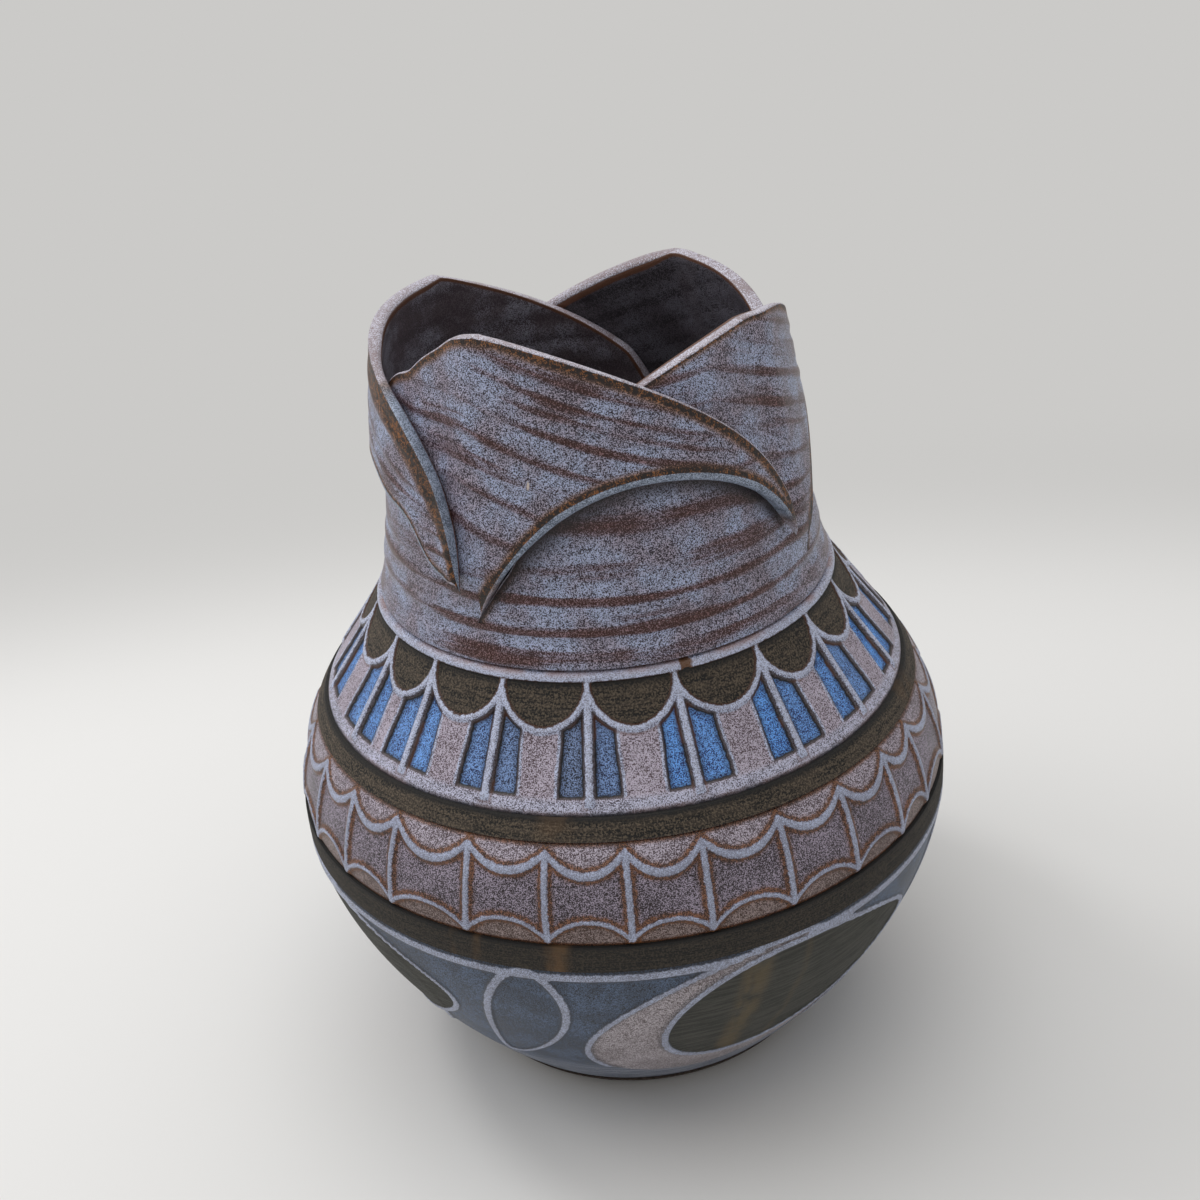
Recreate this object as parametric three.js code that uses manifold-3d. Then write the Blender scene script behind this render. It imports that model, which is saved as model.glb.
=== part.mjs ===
// Carved stoneware vase with a neck cut and lapped into four petals.
// Millimetres, standing on +Z. The pot's axis is Z and its foot stands at Z 0.
// Azimuths are in degrees: 0 faces -Y and they grow towards +X, then +Y.
import * as THREE from 'three';
import { mergeVertices } from 'three/addons/utils/BufferGeometryUtils.js';
import Module from 'manifold-3d';

// The whole height, to the highest petal.
const VASE_HEIGHT = 200.6;

// Outline of the pot: foot, belly and the height where the neck turns upright.
const FOOT_RADIUS = 46;
const BELLY_RADIUS = 82.8;
const BELLY_HEIGHT = 70;
const NECK_RADIUS = 52.5;
const NECK_HEIGHT = 140;
const BOWL_FULLNESS = 1.7;
const SHOULDER_FULLNESS = 1.25;
// Radius lost for each millimetre of height above NECK_HEIGHT, and how far the mouth leans to -X.
const NECK_TAPER = 0.155;
const MOUTH_LEAN = 0.8;
const LEAN_REACH = 50;

// Clay thickness.
const WALL = 5.5;
const FLOOR = 6.5;
const FLOOR_FILLET = 6;
const PETAL_WALL = 3.4;

// Turned foot ring.
const FOOT_RING_HEIGHT = 4;
const FOOT_RING_WIDTH = 7.5;
const FOOT_CHAMFER = 0.8;

// Thrown sections meet behind the dark bands and at the foot of the neck, with this gap.
const SEAM_GAP = 0.3;
const COLLAR_DROP = 2.8;
const COLLAR_HEIGHT = 8.2;
const COLLAR_TOP = NECK_HEIGHT - COLLAR_DROP;
const COLLAR_BOTTOM = COLLAR_TOP - COLLAR_HEIGHT;

// Dark slip bands laid in grooves round the belly and the shoulder.
const LOWER_BAND_DROP = 1.3;
const LOWER_BAND_HEIGHT = 6.6;
const BELLY_BAND_SPACE = 23.1;
const UPPER_BAND_HEIGHT = 4;
const LOWER_BAND_BOTTOM = BELLY_HEIGHT - LOWER_BAND_DROP;
const LOWER_BAND_TOP = LOWER_BAND_BOTTOM + LOWER_BAND_HEIGHT;
const UPPER_BAND_BOTTOM = LOWER_BAND_TOP + BELLY_BAND_SPACE;
const UPPER_BAND_TOP = UPPER_BAND_BOTTOM + UPPER_BAND_HEIGHT;
const SLIP_THICKNESS = 1.2;

// Dark slip ring with a scalloped lower edge, at the top of the shoulder.
const SCALLOP_COUNT = 19;
const CREASE_HEIGHT = 2.7;
const SCALLOP_TOP = COLLAR_BOTTOM - CREASE_HEIGHT;
const SCALLOP_STRIP = 1.6;
const SCALLOP_DROP = 7.5;
const SCALLOP_WIDTH = 18.4;
const SCALLOP_THICKNESS = 0.9;
const SCALLOP_TURN = -15.5;
const SCALLOP_STEPS = 10;

// Pairs of carved panels below the scallops, one on each side of every rib.
const PANEL_SILL = 3.8;
const PANEL_LINTEL = 2.6;
const PANEL_SLANT = 3.4;
const PANEL_BOTTOM = UPPER_BAND_TOP + PANEL_SILL;
const PANEL_OUTER_TOP = SCALLOP_TOP - SCALLOP_DROP - PANEL_LINTEL;
const PANEL_INNER_TOP = PANEL_OUTER_TOP + PANEL_SLANT;
const PANEL_RIB_HALF = 1.4;
const PANEL_FOOT_WIDTH = 6;
const PANEL_HEAD_WIDTH = 4.6;
const PANEL_DEPTH = 0.8;

// How far the cutting skins reach out past the surface.
const CUT_REACH = 2.5;

// Petals. Each one grows from the collar between two slits, its rising end tucked inside the
// petal before it and its pointed end lapped outside the petal after it. Heights of a petal are
// shares of the rise from the collar to the highest petal.
const LAP_GAP = 0.35;
const TUCK = 2;
const TUCK_TURN = 70;
const STEP_TURN = 11;
const LIFT_TURN = 14;
const LIFT_RISE = 12;
const TIP_BLUNT = 3;
const ARCH_SQUARENESS = 0.85;
const ARCH_SKEW = 0.2;
const EDGE_ROUND = 1.7;
const EDGE_THINNING = 0.4;
const SLIT_GAP = 0.8;
const SLIT_TURN = 0.5;
const SLIT_FOLLOW = 8;
const SLIT_BLEND = 12;
const PETAL_RISE = VASE_HEIGHT - COLLAR_TOP;
const PETALS = [
  { name: 'petal_front', slit: -33, tip: 53.5, tipShare: 0.107, peak: -30, peakShare: 1,
    riseBend: 1.15, riseFullness: 0.66, fallBend: 1.42, fallFullness: 0.46, archShare: 0.435 },
  { name: 'petal_right', slit: 62, tip: 140, tipShare: 0.076, peak: 62, peakShare: 0.912,
    riseBend: 2.3, riseFullness: 0.58, fallBend: 1.47, fallFullness: 0.6, archShare: 0.442 },
  { name: 'petal_back', slit: 146, tip: 224, tipShare: 0.076, peak: 147, peakShare: 0.89,
    riseBend: 1.7, riseFullness: 0.4, fallBend: 1.11, fallFullness: 0.44, archShare: 0.442 },
  { name: 'petal_left', slit: 230, tip: 324.5, tipShare: 0.131, peak: 230, peakShare: 0.905,
    riseBend: 1.02, riseFullness: 0.46, fallBend: 2.8, fallFullness: 0.46, archShare: 0.363 },
];

// Steps round the pot and along each petal.
const TURN_STEPS = 60;
const PETAL_ROWS = 8;
const SLIT_STEPS = 4;
const BODY_STEPS = 11;
const LEAF_STEPS = 11;

const clamp01 = (x) => Math.min(Math.max(x, 0), 1);
const smooth = (x) => clamp01(x) ** 2 * (3 - 2 * clamp01(x));
const radians = THREE.MathUtils.degToRad;

// Outer radius of the thrown pot at height z, without the laps of the petals.
function outerRadius(z) {
  if (z < BELLY_HEIGHT) {
    const share = 1 - (1 - z / BELLY_HEIGHT) ** BOWL_FULLNESS;
    return FOOT_RADIUS + (BELLY_RADIUS - FOOT_RADIUS) * share;
  }
  if (z < NECK_HEIGHT) {
    const climb = (z - BELLY_HEIGHT) / (NECK_HEIGHT - BELLY_HEIGHT);
    const share = (1 + Math.cos(Math.PI * climb ** SHOULDER_FULLNESS)) / 2;
    return NECK_RADIUS + (BELLY_RADIUS - NECK_RADIUS) * share;
  }
  return NECK_RADIUS - NECK_TAPER * (z - NECK_HEIGHT);
}

// Radius of a surface that lies the given depth under the outer one, measured square to it.
function depthRadius(z, depth) {
  const slope = (outerRadius(z + 0.5) - outerRadius(Math.max(z - 0.5, 0))) / Math.min(1, z + 0.5);
  return outerRadius(z) - depth * Math.sqrt(1 + slope ** 2);
}

// The wall thins from the belly's clay to the petals' clay up the neck.
function wallAt(z) {
  const thinning = smooth((z - UPPER_BAND_BOTTOM) / (COLLAR_TOP - UPPER_BAND_BOTTOM));
  return WALL + (PETAL_WALL - WALL) * thinning;
}

const outerPoint = (z) => new THREE.Vector2(outerRadius(z), z);
const innerPoint = (z) => new THREE.Vector2(depthRadius(z, wallAt(z)), z);
const groovePoint = (z) => new THREE.Vector2(depthRadius(z, SLIP_THICKNESS + SEAM_GAP), z);

// Points of a profile from one height to another, in even steps.
function stretch(pointAt, from, to, steps) {
  return Array.from({ length: steps + 1 }, (_, i) => pointAt(from + ((to - from) * i) / steps));
}

// Turns a profile about Z. It climbs on the outside and comes down on the inside.
function turned(profile) {
  const geometry = new THREE.LatheGeometry(profile, TURN_STEPS);
  geometry.rotateX(Math.PI / 2);
  return geometry;
}

const turnedRing = (profile) => turned([...profile, profile[0]]);

const bandMiddle = (bottom, height) => bottom + height / 2;
const LOWER_SEAM = bandMiddle(LOWER_BAND_BOTTOM, LOWER_BAND_HEIGHT);
const UPPER_SEAM = bandMiddle(UPPER_BAND_BOTTOM, UPPER_BAND_HEIGHT);

function footRing() {
  const ground = FOOT_RADIUS - FOOT_CHAMFER;
  const inside = FOOT_RADIUS - FOOT_RING_WIDTH;
  return turnedRing([
    new THREE.Vector2(ground, 0),
    outerPoint(FOOT_CHAMFER),
    outerPoint(FOOT_RING_HEIGHT),
    new THREE.Vector2(inside - FOOT_CHAMFER, FOOT_RING_HEIGHT),
    new THREE.Vector2(inside, FOOT_CHAMFER),
    new THREE.Vector2(inside + FOOT_CHAMFER, 0),
  ]);
}

function lowerBowl() {
  const bottom = FOOT_RING_HEIGHT + SEAM_GAP;
  const floor = bottom + FLOOR;
  const top = LOWER_SEAM - SEAM_GAP / 2;
  const corner = innerPoint(floor + FLOOR_FILLET);
  const filletPoint = (turn) => new THREE.Vector2(
    corner.x - FLOOR_FILLET * (1 - Math.cos(turn)),
    corner.y - FLOOR_FILLET * Math.sin(turn),
  );
  return turned([
    new THREE.Vector2(0, bottom),
    ...stretch(outerPoint, bottom, LOWER_BAND_BOTTOM - SEAM_GAP, 8),
    groovePoint(LOWER_BAND_BOTTOM - SEAM_GAP),
    groovePoint(top),
    ...stretch(innerPoint, top, floor + FLOOR_FILLET, 5).slice(0, -1),
    ...stretch(filletPoint, 0, Math.PI / 2, 3),
    new THREE.Vector2(0, floor),
  ]);
}

function bellyWall() {
  const bottom = LOWER_SEAM + SEAM_GAP / 2;
  const top = UPPER_SEAM - SEAM_GAP / 2;
  return turnedRing([
    groovePoint(bottom),
    groovePoint(LOWER_BAND_TOP + SEAM_GAP),
    ...stretch(outerPoint, LOWER_BAND_TOP + SEAM_GAP, UPPER_BAND_BOTTOM - SEAM_GAP, 4),
    groovePoint(UPPER_BAND_BOTTOM - SEAM_GAP),
    groovePoint(top),
    ...stretch(innerPoint, top, bottom, 4),
  ]);
}

// A dark band flush with the wall, seated in the groove behind it.
function slipBand(bottom, height) {
  const backPoint = (z) => new THREE.Vector2(depthRadius(z, SLIP_THICKNESS), z);
  return turnedRing([
    ...stretch(outerPoint, bottom, bottom + height, 2),
    ...stretch(backPoint, bottom + height, bottom, 2),
  ]);
}

function neckCollar() {
  const bottom = COLLAR_BOTTOM + SEAM_GAP;
  return turnedRing([
    ...stretch(outerPoint, bottom, COLLAR_TOP, 3),
    ...stretch(innerPoint, COLLAR_TOP, bottom, 3),
  ]);
}

const wasm = await Module();
wasm.setup();

function solidOf(geometry) {
  geometry.deleteAttribute('normal');
  geometry.deleteAttribute('uv');
  const merged = mergeVertices(geometry, 1e-4);
  const mesh = new wasm.Mesh({
    numProp: 3,
    vertProperties: new Float32Array(merged.attributes.position.array),
    triVerts: new Uint32Array(merged.index.array),
  });
  return new wasm.Manifold(mesh);
}

function geometryOf(solid) {
  const mesh = solid.getMesh();
  const geometry = new THREE.BufferGeometry();
  geometry.setAttribute('position', new THREE.BufferAttribute(mesh.vertProperties, 3));
  geometry.setIndex(new THREE.BufferAttribute(mesh.triVerts, 1));
  return geometry;
}

// A skin of the shoulder: from the given depth out to a height above its surface.
function shoulderSkin(depth, proud, bottom, top) {
  const front = (z) => new THREE.Vector2(depthRadius(z, -proud), z);
  const back = (z) => new THREE.Vector2(depthRadius(z, depth), z);
  return solidOf(turnedRing([...stretch(front, bottom, top, 2), ...stretch(back, top, bottom, 2)]));
}

// A prism of the given outline (across, up), pushed through the wall at an azimuth.
function radialCutter(outline, azimuth) {
  const reach = BELLY_RADIUS - NECK_RADIUS;
  const prism = new THREE.ExtrudeGeometry(outline, { depth: 2 * reach, bevelEnabled: false });
  prism.rotateX(Math.PI / 2);
  prism.translate(0, -NECK_RADIUS + reach / 2, 0);
  prism.rotateZ(radians(azimuth));
  return solidOf(prism);
}

const scallopPitch = 360 / SCALLOP_COUNT;
const ribAzimuth = (i) => SCALLOP_TURN + scallopPitch * (i + 0.5);
const pitchWidth = 2 * outerRadius(SCALLOP_TOP - SCALLOP_DROP) * Math.tan(radians(scallopPitch / 2));

// Height of the scalloped edge at a distance across from the rib between two scallops.
function scallopEdge(across) {
  const fromCentre = Math.min(Math.abs(pitchWidth / 2 - Math.abs(across)) / (SCALLOP_WIDTH / 2), 1);
  return Math.min(SCALLOP_TOP - SCALLOP_DROP * Math.sqrt(1 - fromCentre ** 2), SCALLOP_TOP - SCALLOP_STRIP);
}

// What is cut away under the scalloped edge at one rib, down by drop.
function spandrelOutline(drop) {
  const half = pitchWidth / 2;
  const below = SCALLOP_TOP - 2 * SCALLOP_DROP;
  const outline = new THREE.Shape();
  outline.moveTo(-half, below);
  for (let i = 0; i <= SCALLOP_STEPS; i += 1) {
    const across = -half + (2 * half * i) / SCALLOP_STEPS;
    outline.lineTo(across, scallopEdge(across) - drop);
  }
  outline.lineTo(half, below);
  outline.closePath();
  return outline;
}

function scallopSkin(depth, proud, margin) {
  const bottom = SCALLOP_TOP - SCALLOP_DROP - margin;
  let skin = shoulderSkin(depth, proud, bottom, SCALLOP_TOP + margin);
  for (let i = 0; i < SCALLOP_COUNT; i += 1) {
    skin = skin.subtract(radialCutter(spandrelOutline(margin), ribAzimuth(i)));
  }
  return skin;
}

function panelOutline(side) {
  const outline = new THREE.Shape();
  outline.moveTo(side * PANEL_RIB_HALF, PANEL_BOTTOM);
  outline.lineTo(side * (PANEL_RIB_HALF + PANEL_FOOT_WIDTH), PANEL_BOTTOM);
  outline.lineTo(side * (PANEL_RIB_HALF + PANEL_HEAD_WIDTH), PANEL_OUTER_TOP);
  outline.lineTo(side * PANEL_RIB_HALF, PANEL_INNER_TOP);
  outline.closePath();
  return outline;
}

function shoulderWall() {
  const bottom = UPPER_SEAM + SEAM_GAP / 2;
  const start = UPPER_BAND_TOP + SEAM_GAP;
  let wall = solidOf(turnedRing([
    groovePoint(bottom),
    groovePoint(start),
    ...stretch(outerPoint, start, COLLAR_BOTTOM, 6),
    ...stretch(innerPoint, COLLAR_BOTTOM, bottom, 4),
  ]));
  wall = wall.subtract(scallopSkin(SCALLOP_THICKNESS + SEAM_GAP, CUT_REACH, SEAM_GAP));
  const carved = shoulderSkin(PANEL_DEPTH, CUT_REACH, PANEL_BOTTOM - 1, PANEL_INNER_TOP + 1);
  for (let i = 0; i < SCALLOP_COUNT; i += 1) {
    for (const side of [-1, 1]) {
      wall = wall.subtract(carved.intersect(radialCutter(panelOutline(side), ribAzimuth(i))));
    }
  }
  return geometryOf(wall);
}

// Neck surface that the petals share, leaning a little towards -X at the mouth.
function neckRadius(azimuth, z) {
  const lean = -MOUTH_LEAN * Math.sin(radians(azimuth)) * smooth((z - NECK_HEIGHT) / LEAN_REACH);
  return outerRadius(z) + lean;
}

const PETAL_BOTTOM = COLLAR_TOP + SEAM_GAP;
const riseTo = (share) => COLLAR_TOP + share * PETAL_RISE;
const slitBefore = (k) => (k === 0 ? PETALS.at(-1).slit - 360 : PETALS[k - 1].slit);

// Height of the cut arch under the free end of petal k, from its slit to its tip.
function archHeight(k, azimuth) {
  const { slit, tip, tipShare, archShare } = PETALS[k];
  const way = clamp01((azimuth - slit) / (tip - slit));
  const arch = archShare * PETAL_RISE * (4 * way * (1 - way)) ** (ARCH_SQUARENESS - ARCH_SKEW * way);
  return PETAL_BOTTOM + (riseTo(tipShare) - PETAL_BOTTOM) * way + arch;
}

// Height of the rim of petal k: it rises from the slit before it to its peak, then falls to its tip.
function rimHeight(k, azimuth) {
  const petal = PETALS[k];
  const peak = riseTo(petal.peakShare);
  const tip = riseTo(petal.tipShare);
  if (azimuth > petal.peak) {
    const way = clamp01((azimuth - petal.peak) / (petal.tip - petal.peak));
    const share = (1 - way ** petal.fallBend) ** petal.fallFullness;
    return tip + (peak - tip) * share;
  }
  const way = clamp01((petal.peak - azimuth) / (petal.peak - slitBefore(k)));
  const share = (1 - way ** petal.riseBend) ** petal.riseFullness;
  return PETAL_BOTTOM + (peak - PETAL_BOTTOM) * share;
}

const before = (k) => (k + PETALS.length - 1) % PETALS.length;
const after = (k) => (k + 1) % PETALS.length;

// Top edge of petal k: its first stretch stays under the arch of the petal before it.
function topHeight(k, azimuth) {
  const turn = azimuth - slitBefore(k);
  const rim = rimHeight(k, azimuth);
  if (turn > SLIT_FOLLOW + SLIT_BLEND) return rim;
  const j = before(k);
  const arch = archHeight(j, PETALS[j].slit + turn) - SLIT_GAP;
  const top = arch + (rim - arch) * smooth((turn - SLIT_FOLLOW) / SLIT_BLEND);
  return Math.max(top, PETAL_BOTTOM + SLIT_GAP / 2);
}

const bottomHeight = (k, azimuth) => (azimuth > PETALS[k].slit ? archHeight(k, azimuth) : PETAL_BOTTOM);

// How far petal k stands off the neck surface where it is the inner layer.
function tuckedOffset(k, azimuth) {
  const tuck = -TUCK * (1 - smooth((azimuth - slitBefore(k)) / TUCK_TURN));
  const step = smooth((azimuth - PETALS[k].slit + STEP_TURN) / STEP_TURN);
  return tuck + step * (PETAL_WALL + LAP_GAP - TUCK);
}

// The same at any azimuth and height: the free end laps outside the next petal.
function petalOffset(k, azimuth, z) {
  const risen = smooth((z - PETAL_BOTTOM) / LIFT_RISE);
  const { slit } = PETALS[k];
  if (azimuth < slit) return tuckedOffset(k, azimuth) * risen;
  const j = after(k);
  const under = tuckedOffset(j, slitBefore(j) + azimuth - slit) * risen;
  const lifted = risen + (1 - risen) * smooth((azimuth - slit) / LIFT_TURN);
  return under + (PETAL_WALL + LAP_GAP) * lifted;
}

// Azimuths of the petal's columns. Neighbours share them beside each slit.
function petalAzimuths(k) {
  const { slit, tip } = PETALS[k];
  const start = slitBefore(k);
  const run = (from, to, steps) => (
    Array.from({ length: steps }, (_, i) => from + ((to - from) * i) / steps)
  );
  const list = [
    ...run(start, start + SLIT_FOLLOW, SLIT_STEPS),
    ...run(start + SLIT_FOLLOW, slit, BODY_STEPS),
    ...run(slit, slit + SLIT_FOLLOW, SLIT_STEPS),
    ...run(slit + SLIT_FOLLOW, tip, LEAF_STEPS),
    tip,
  ];
  list[0] = start + SLIT_TURN;
  return list;
}

// A slab bent to the petal's outline, thinned towards its free edges.
function petalSlab(k) {
  const azimuths = petalAzimuths(k);
  const columns = azimuths.length - 1;
  const slab = new THREE.BoxGeometry(1, 1, 1, columns, PETAL_ROWS, 1);
  const place = slab.attributes.position;
  for (let i = 0; i < place.count; i += 1) {
    const azimuth = azimuths[Math.round((place.getX(i) + 0.5) * columns)];
    const bottom = bottomHeight(k, azimuth);
    const top = Math.max(topHeight(k, azimuth), azimuth > PETALS[k].slit ? bottom + TIP_BLUNT : bottom);
    const z = bottom + (top - bottom) * (0.5 - 0.5 * Math.cos(Math.PI * (place.getY(i) + 0.5)));
    const toEdge = azimuth > PETALS[k].slit ? Math.min(z - bottom, top - z) : top - z;
    const round = Math.sqrt(1 - (1 - clamp01(toEdge / EDGE_ROUND)) ** 2);
    const thickness = PETAL_WALL * (EDGE_THINNING + (1 - EDGE_THINNING) * round);
    const middle = neckRadius(azimuth, z) + petalOffset(k, azimuth, z) - PETAL_WALL / 2;
    const radius = middle + thickness * place.getZ(i);
    const turn = radians(azimuth);
    place.setXYZ(i, radius * Math.sin(turn), -radius * Math.cos(turn), z);
  }
  return slab;
}

const glaze = (color, roughness) => new THREE.MeshStandardMaterial({ color, roughness, metalness: 0 });
const bareClay = glaze('#6b625c', 0.9);
const slateGlaze = glaze('#5f7590', 0.5);
const mauveGlaze = glaze('#7b6f86', 0.45);
const blueGlaze = glaze('#8790b0', 0.42);
const petalGlaze = glaze('#82819f', 0.42);
const darkSlip = glaze('#33312e', 0.88);

const vase = new THREE.Group();

function addPiece(name, geometry, material) {
  const mesh = new THREE.Mesh(geometry, material);
  mesh.name = name;
  vase.add(mesh);
}

addPiece('foot_ring', footRing(), bareClay);
addPiece('lower_bowl', lowerBowl(), slateGlaze);
addPiece('belly_wall', bellyWall(), mauveGlaze);
addPiece('shoulder_wall', shoulderWall(), blueGlaze);
addPiece('neck_collar', neckCollar(), petalGlaze);
addPiece('lower_slip_band', slipBand(LOWER_BAND_BOTTOM, LOWER_BAND_HEIGHT), darkSlip);
addPiece('upper_slip_band', slipBand(UPPER_BAND_BOTTOM, UPPER_BAND_HEIGHT), darkSlip);
addPiece('scallop_slip_ring', geometryOf(scallopSkin(SCALLOP_THICKNESS, 0, 0)), darkSlip);
PETALS.forEach((petal, k) => addPiece(petal.name, petalSlab(k), petalGlaze));

export default vase;
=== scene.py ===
# %% [markdown]
# # A carved stoneware vase with a petal neck
# This lesson dresses the plain solids of a thrown vase. The real pot was turned on a wheel, brushed
# with dark slip, carved through the slip while it was leather hard, cut into four petals at the
# neck, and glazed. The lesson makes each part the way a potter thinks of it: first the turned
# wall, then the carving, then the glaze.
# The first cell loads the fixed solids.

import math

import bpy
import numpy as np
from mathutils import Matrix, Vector


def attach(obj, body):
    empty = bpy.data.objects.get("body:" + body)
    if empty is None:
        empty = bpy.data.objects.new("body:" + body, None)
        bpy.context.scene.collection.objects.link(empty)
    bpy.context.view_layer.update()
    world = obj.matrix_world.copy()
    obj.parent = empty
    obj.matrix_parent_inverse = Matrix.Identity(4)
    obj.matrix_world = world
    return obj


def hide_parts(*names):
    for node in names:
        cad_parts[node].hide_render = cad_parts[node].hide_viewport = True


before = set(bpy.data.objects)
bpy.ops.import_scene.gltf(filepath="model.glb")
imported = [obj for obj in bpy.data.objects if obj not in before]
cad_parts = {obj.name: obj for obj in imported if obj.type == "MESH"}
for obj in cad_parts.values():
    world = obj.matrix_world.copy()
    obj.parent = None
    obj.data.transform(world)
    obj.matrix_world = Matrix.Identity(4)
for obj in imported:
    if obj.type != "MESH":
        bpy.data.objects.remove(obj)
bpy.context.view_layer.update()

# %% [markdown]
# ## The outline of the pot
# Everything here follows one outline, so it is written once, in millimetres, as radius against
# height: a full bowl up to the belly, a long S from the belly to the neck, and a slow taper
# above. The distance along the outline is measured too, because carved lines keep their width
# along the clay and not along the height.
# Angles round the pot are in degrees. Zero faces the camera's side, -Y, and they grow towards +X.

# %% The outline, and the distance along it
MM = 0.001
FOOT_RADIUS = 46.0
BELLY_RADIUS, BELLY_HEIGHT, BOWL_FULLNESS = 82.75, 70.0, 1.7
NECK_RADIUS, NECK_HEIGHT, SHOULDER_FULLNESS = 52.5, 140.0, 1.25
NECK_TAPER = 0.155


def radius(z):
    z = np.asarray(z, float)
    low = np.clip(z / BELLY_HEIGHT, 0, 1)
    bowl = FOOT_RADIUS + (BELLY_RADIUS - FOOT_RADIUS) * (1 - (1 - low) ** BOWL_FULLNESS)
    climb = np.clip((z - BELLY_HEIGHT) / (NECK_HEIGHT - BELLY_HEIGHT), 0, 1)
    swing = (1 + np.cos(np.pi * climb**SHOULDER_FULLNESS)) / 2
    shoulder = NECK_RADIUS + (BELLY_RADIUS - NECK_RADIUS) * swing
    neck = NECK_RADIUS - NECK_TAPER * (z - NECK_HEIGHT)
    return np.where(z < BELLY_HEIGHT, bowl, np.where(z < NECK_HEIGHT, shoulder, neck))


heights = np.linspace(0, 205, 4101)
travelled = np.concatenate(
    [[0], np.cumsum(np.hypot(np.diff(radius(heights)), np.diff(heights)))]
)


def along(z):
    return np.interp(z, heights, travelled)


def height_at(distance):
    return np.interp(distance, travelled, heights)


def slope(z):
    return (radius(z + 0.25) - radius(z - 0.25)) / 0.5


def smooth(x):
    x = np.clip(x, 0, 1)
    return x * x * (3 - 2 * x)


print("widest", 2 * float(radius(BELLY_HEIGHT)), "mm; outline", round(float(along(201)), 1), "mm long")

# %% [markdown]
# ## Turning a section into a wall
# A turned piece is one closed section swept round the axis. By hand it starts as a single
# vertex, which is extruded from point to point along the section, and a Screw modifier then
# turns the section. Spin would give the same shape, but it is slow with a thousand steps. Many
# steps are wanted here, because the carving is made by moving these vertices.

# %% Helpers: clear the selection, draw a section, turn it


def start_clean():
    if bpy.context.object and bpy.context.object.mode != "OBJECT":
        bpy.ops.object.mode_set(mode="OBJECT")
    bpy.ops.object.select_all(action="DESELECT")


def draw_section(name, section, closed):
    start_clean()
    first_r, first_z = section[0]
    bpy.ops.mesh.primitive_plane_add(size=MM, location=(0, 0, 0))
    piece = bpy.context.object
    piece.name = piece.data.name = name
    bpy.ops.object.mode_set(mode="EDIT")
    bpy.ops.mesh.merge(type="CENTER")
    bpy.ops.transform.translate(value=(first_r * MM, 0, first_z * MM))
    ends = section[1:] + section[:1] if closed else section[1:]
    for (r0, z0), (r1, z1) in zip(section, ends):
        step = ((r1 - r0) * MM, 0, (z1 - z0) * MM)
        bpy.ops.mesh.extrude_region_move(TRANSFORM_OT_translate={"value": step})
    bpy.ops.mesh.select_all(action="SELECT")
    bpy.ops.mesh.remove_doubles(threshold=1e-6)
    bpy.ops.object.mode_set(mode="OBJECT")
    return piece


def turn(name, section, columns, closed=True):
    piece = draw_section(name, [(float(r), float(z)) for r, z in section], closed)
    wheel = piece.modifiers.new("wheel", "SCREW")
    wheel.angle = 2 * math.pi
    wheel.steps = wheel.render_steps = columns
    wheel.use_merge_vertices = True
    wheel.merge_threshold = 1e-6
    bpy.ops.object.modifier_apply(modifier="wheel")
    face_outwards(piece)
    return piece


def face_outwards(piece):
    start_clean()
    bpy.context.view_layer.objects.active = piece
    piece.select_set(True)
    bpy.ops.object.mode_set(mode="EDIT")
    bpy.ops.mesh.select_all(action="SELECT")
    bpy.ops.mesh.remove_doubles(threshold=1e-6)
    bpy.ops.mesh.normals_make_consistent(inside=False)
    bpy.ops.object.mode_set(mode="OBJECT")


def places(piece):
    flat = np.empty(len(piece.data.vertices) * 3)
    piece.data.vertices.foreach_get("co", flat)
    return flat.reshape(-1, 3) / MM


def put(piece, points):
    piece.data.vertices.foreach_set("co", (points * MM).ravel())
    piece.data.update()


def mark(piece, name, values):
    layer = piece.data.attributes.new(name, "FLOAT", "POINT")
    layer.data.foreach_set("value", np.asarray(values, np.float32))


def round_pot(points):
    angle = np.degrees(np.arctan2(points[:, 0], -points[:, 1]))
    return angle, np.hypot(points[:, 0], points[:, 1]), points[:, 2]


def from_round(angle, r, z):
    turned = np.radians(angle)
    return np.stack([r * np.sin(turned), -r * np.cos(turned), z], 1)


def finish_piece(piece, slot, *nodes, sharp=40):
    start_clean()
    bpy.context.view_layer.objects.active = piece
    piece.select_set(True)
    bpy.ops.object.shade_smooth_by_angle(angle=math.radians(sharp))
    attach(piece, "root")
    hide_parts(*nodes)
    triangles = sum(len(face.vertices) - 2 for face in piece.data.polygons)
    print(f"{piece.name}: {triangles} triangles")


# %% [markdown]
# ## Sections of the wall
# The wall is about 5.5 mm thick in the belly and thins to 3.4 mm up the neck. Each length of wall
# is one section: up the outside in steps of about half a millimetre, fine enough for carving,
# then down the inside in long steps. Where a dark band lies in the wall, the section steps back
# behind it.

# %% Section helpers
WALL, PETAL_WALL, GROOVE = 5.5, 3.4, 1.5
THIN_FROM, THIN_TO = 98.4, 137.2
CLAY_STEP = 0.5


def under_surface(z, depth):
    return radius(z) - depth * np.sqrt(1 + slope(z) ** 2)


def wall_at(z):
    return WALL + (PETAL_WALL - WALL) * smooth((z - THIN_FROM) / (THIN_TO - THIN_FROM))


def outside_run(z0, z1, step=CLAY_STEP):
    count = int(abs(along(z1) - along(z0)) / step) + 1
    zs = height_at(np.linspace(along(z0), along(z1), count + 1))
    return list(zip(radius(zs), zs))


def inside_run(z0, z1, count):
    zs = np.linspace(z0, z1, count + 1)
    return list(zip(under_surface(zs, wall_at(zs)), zs))


def groove(z):
    return (float(under_surface(z, GROOVE)), z)


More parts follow.
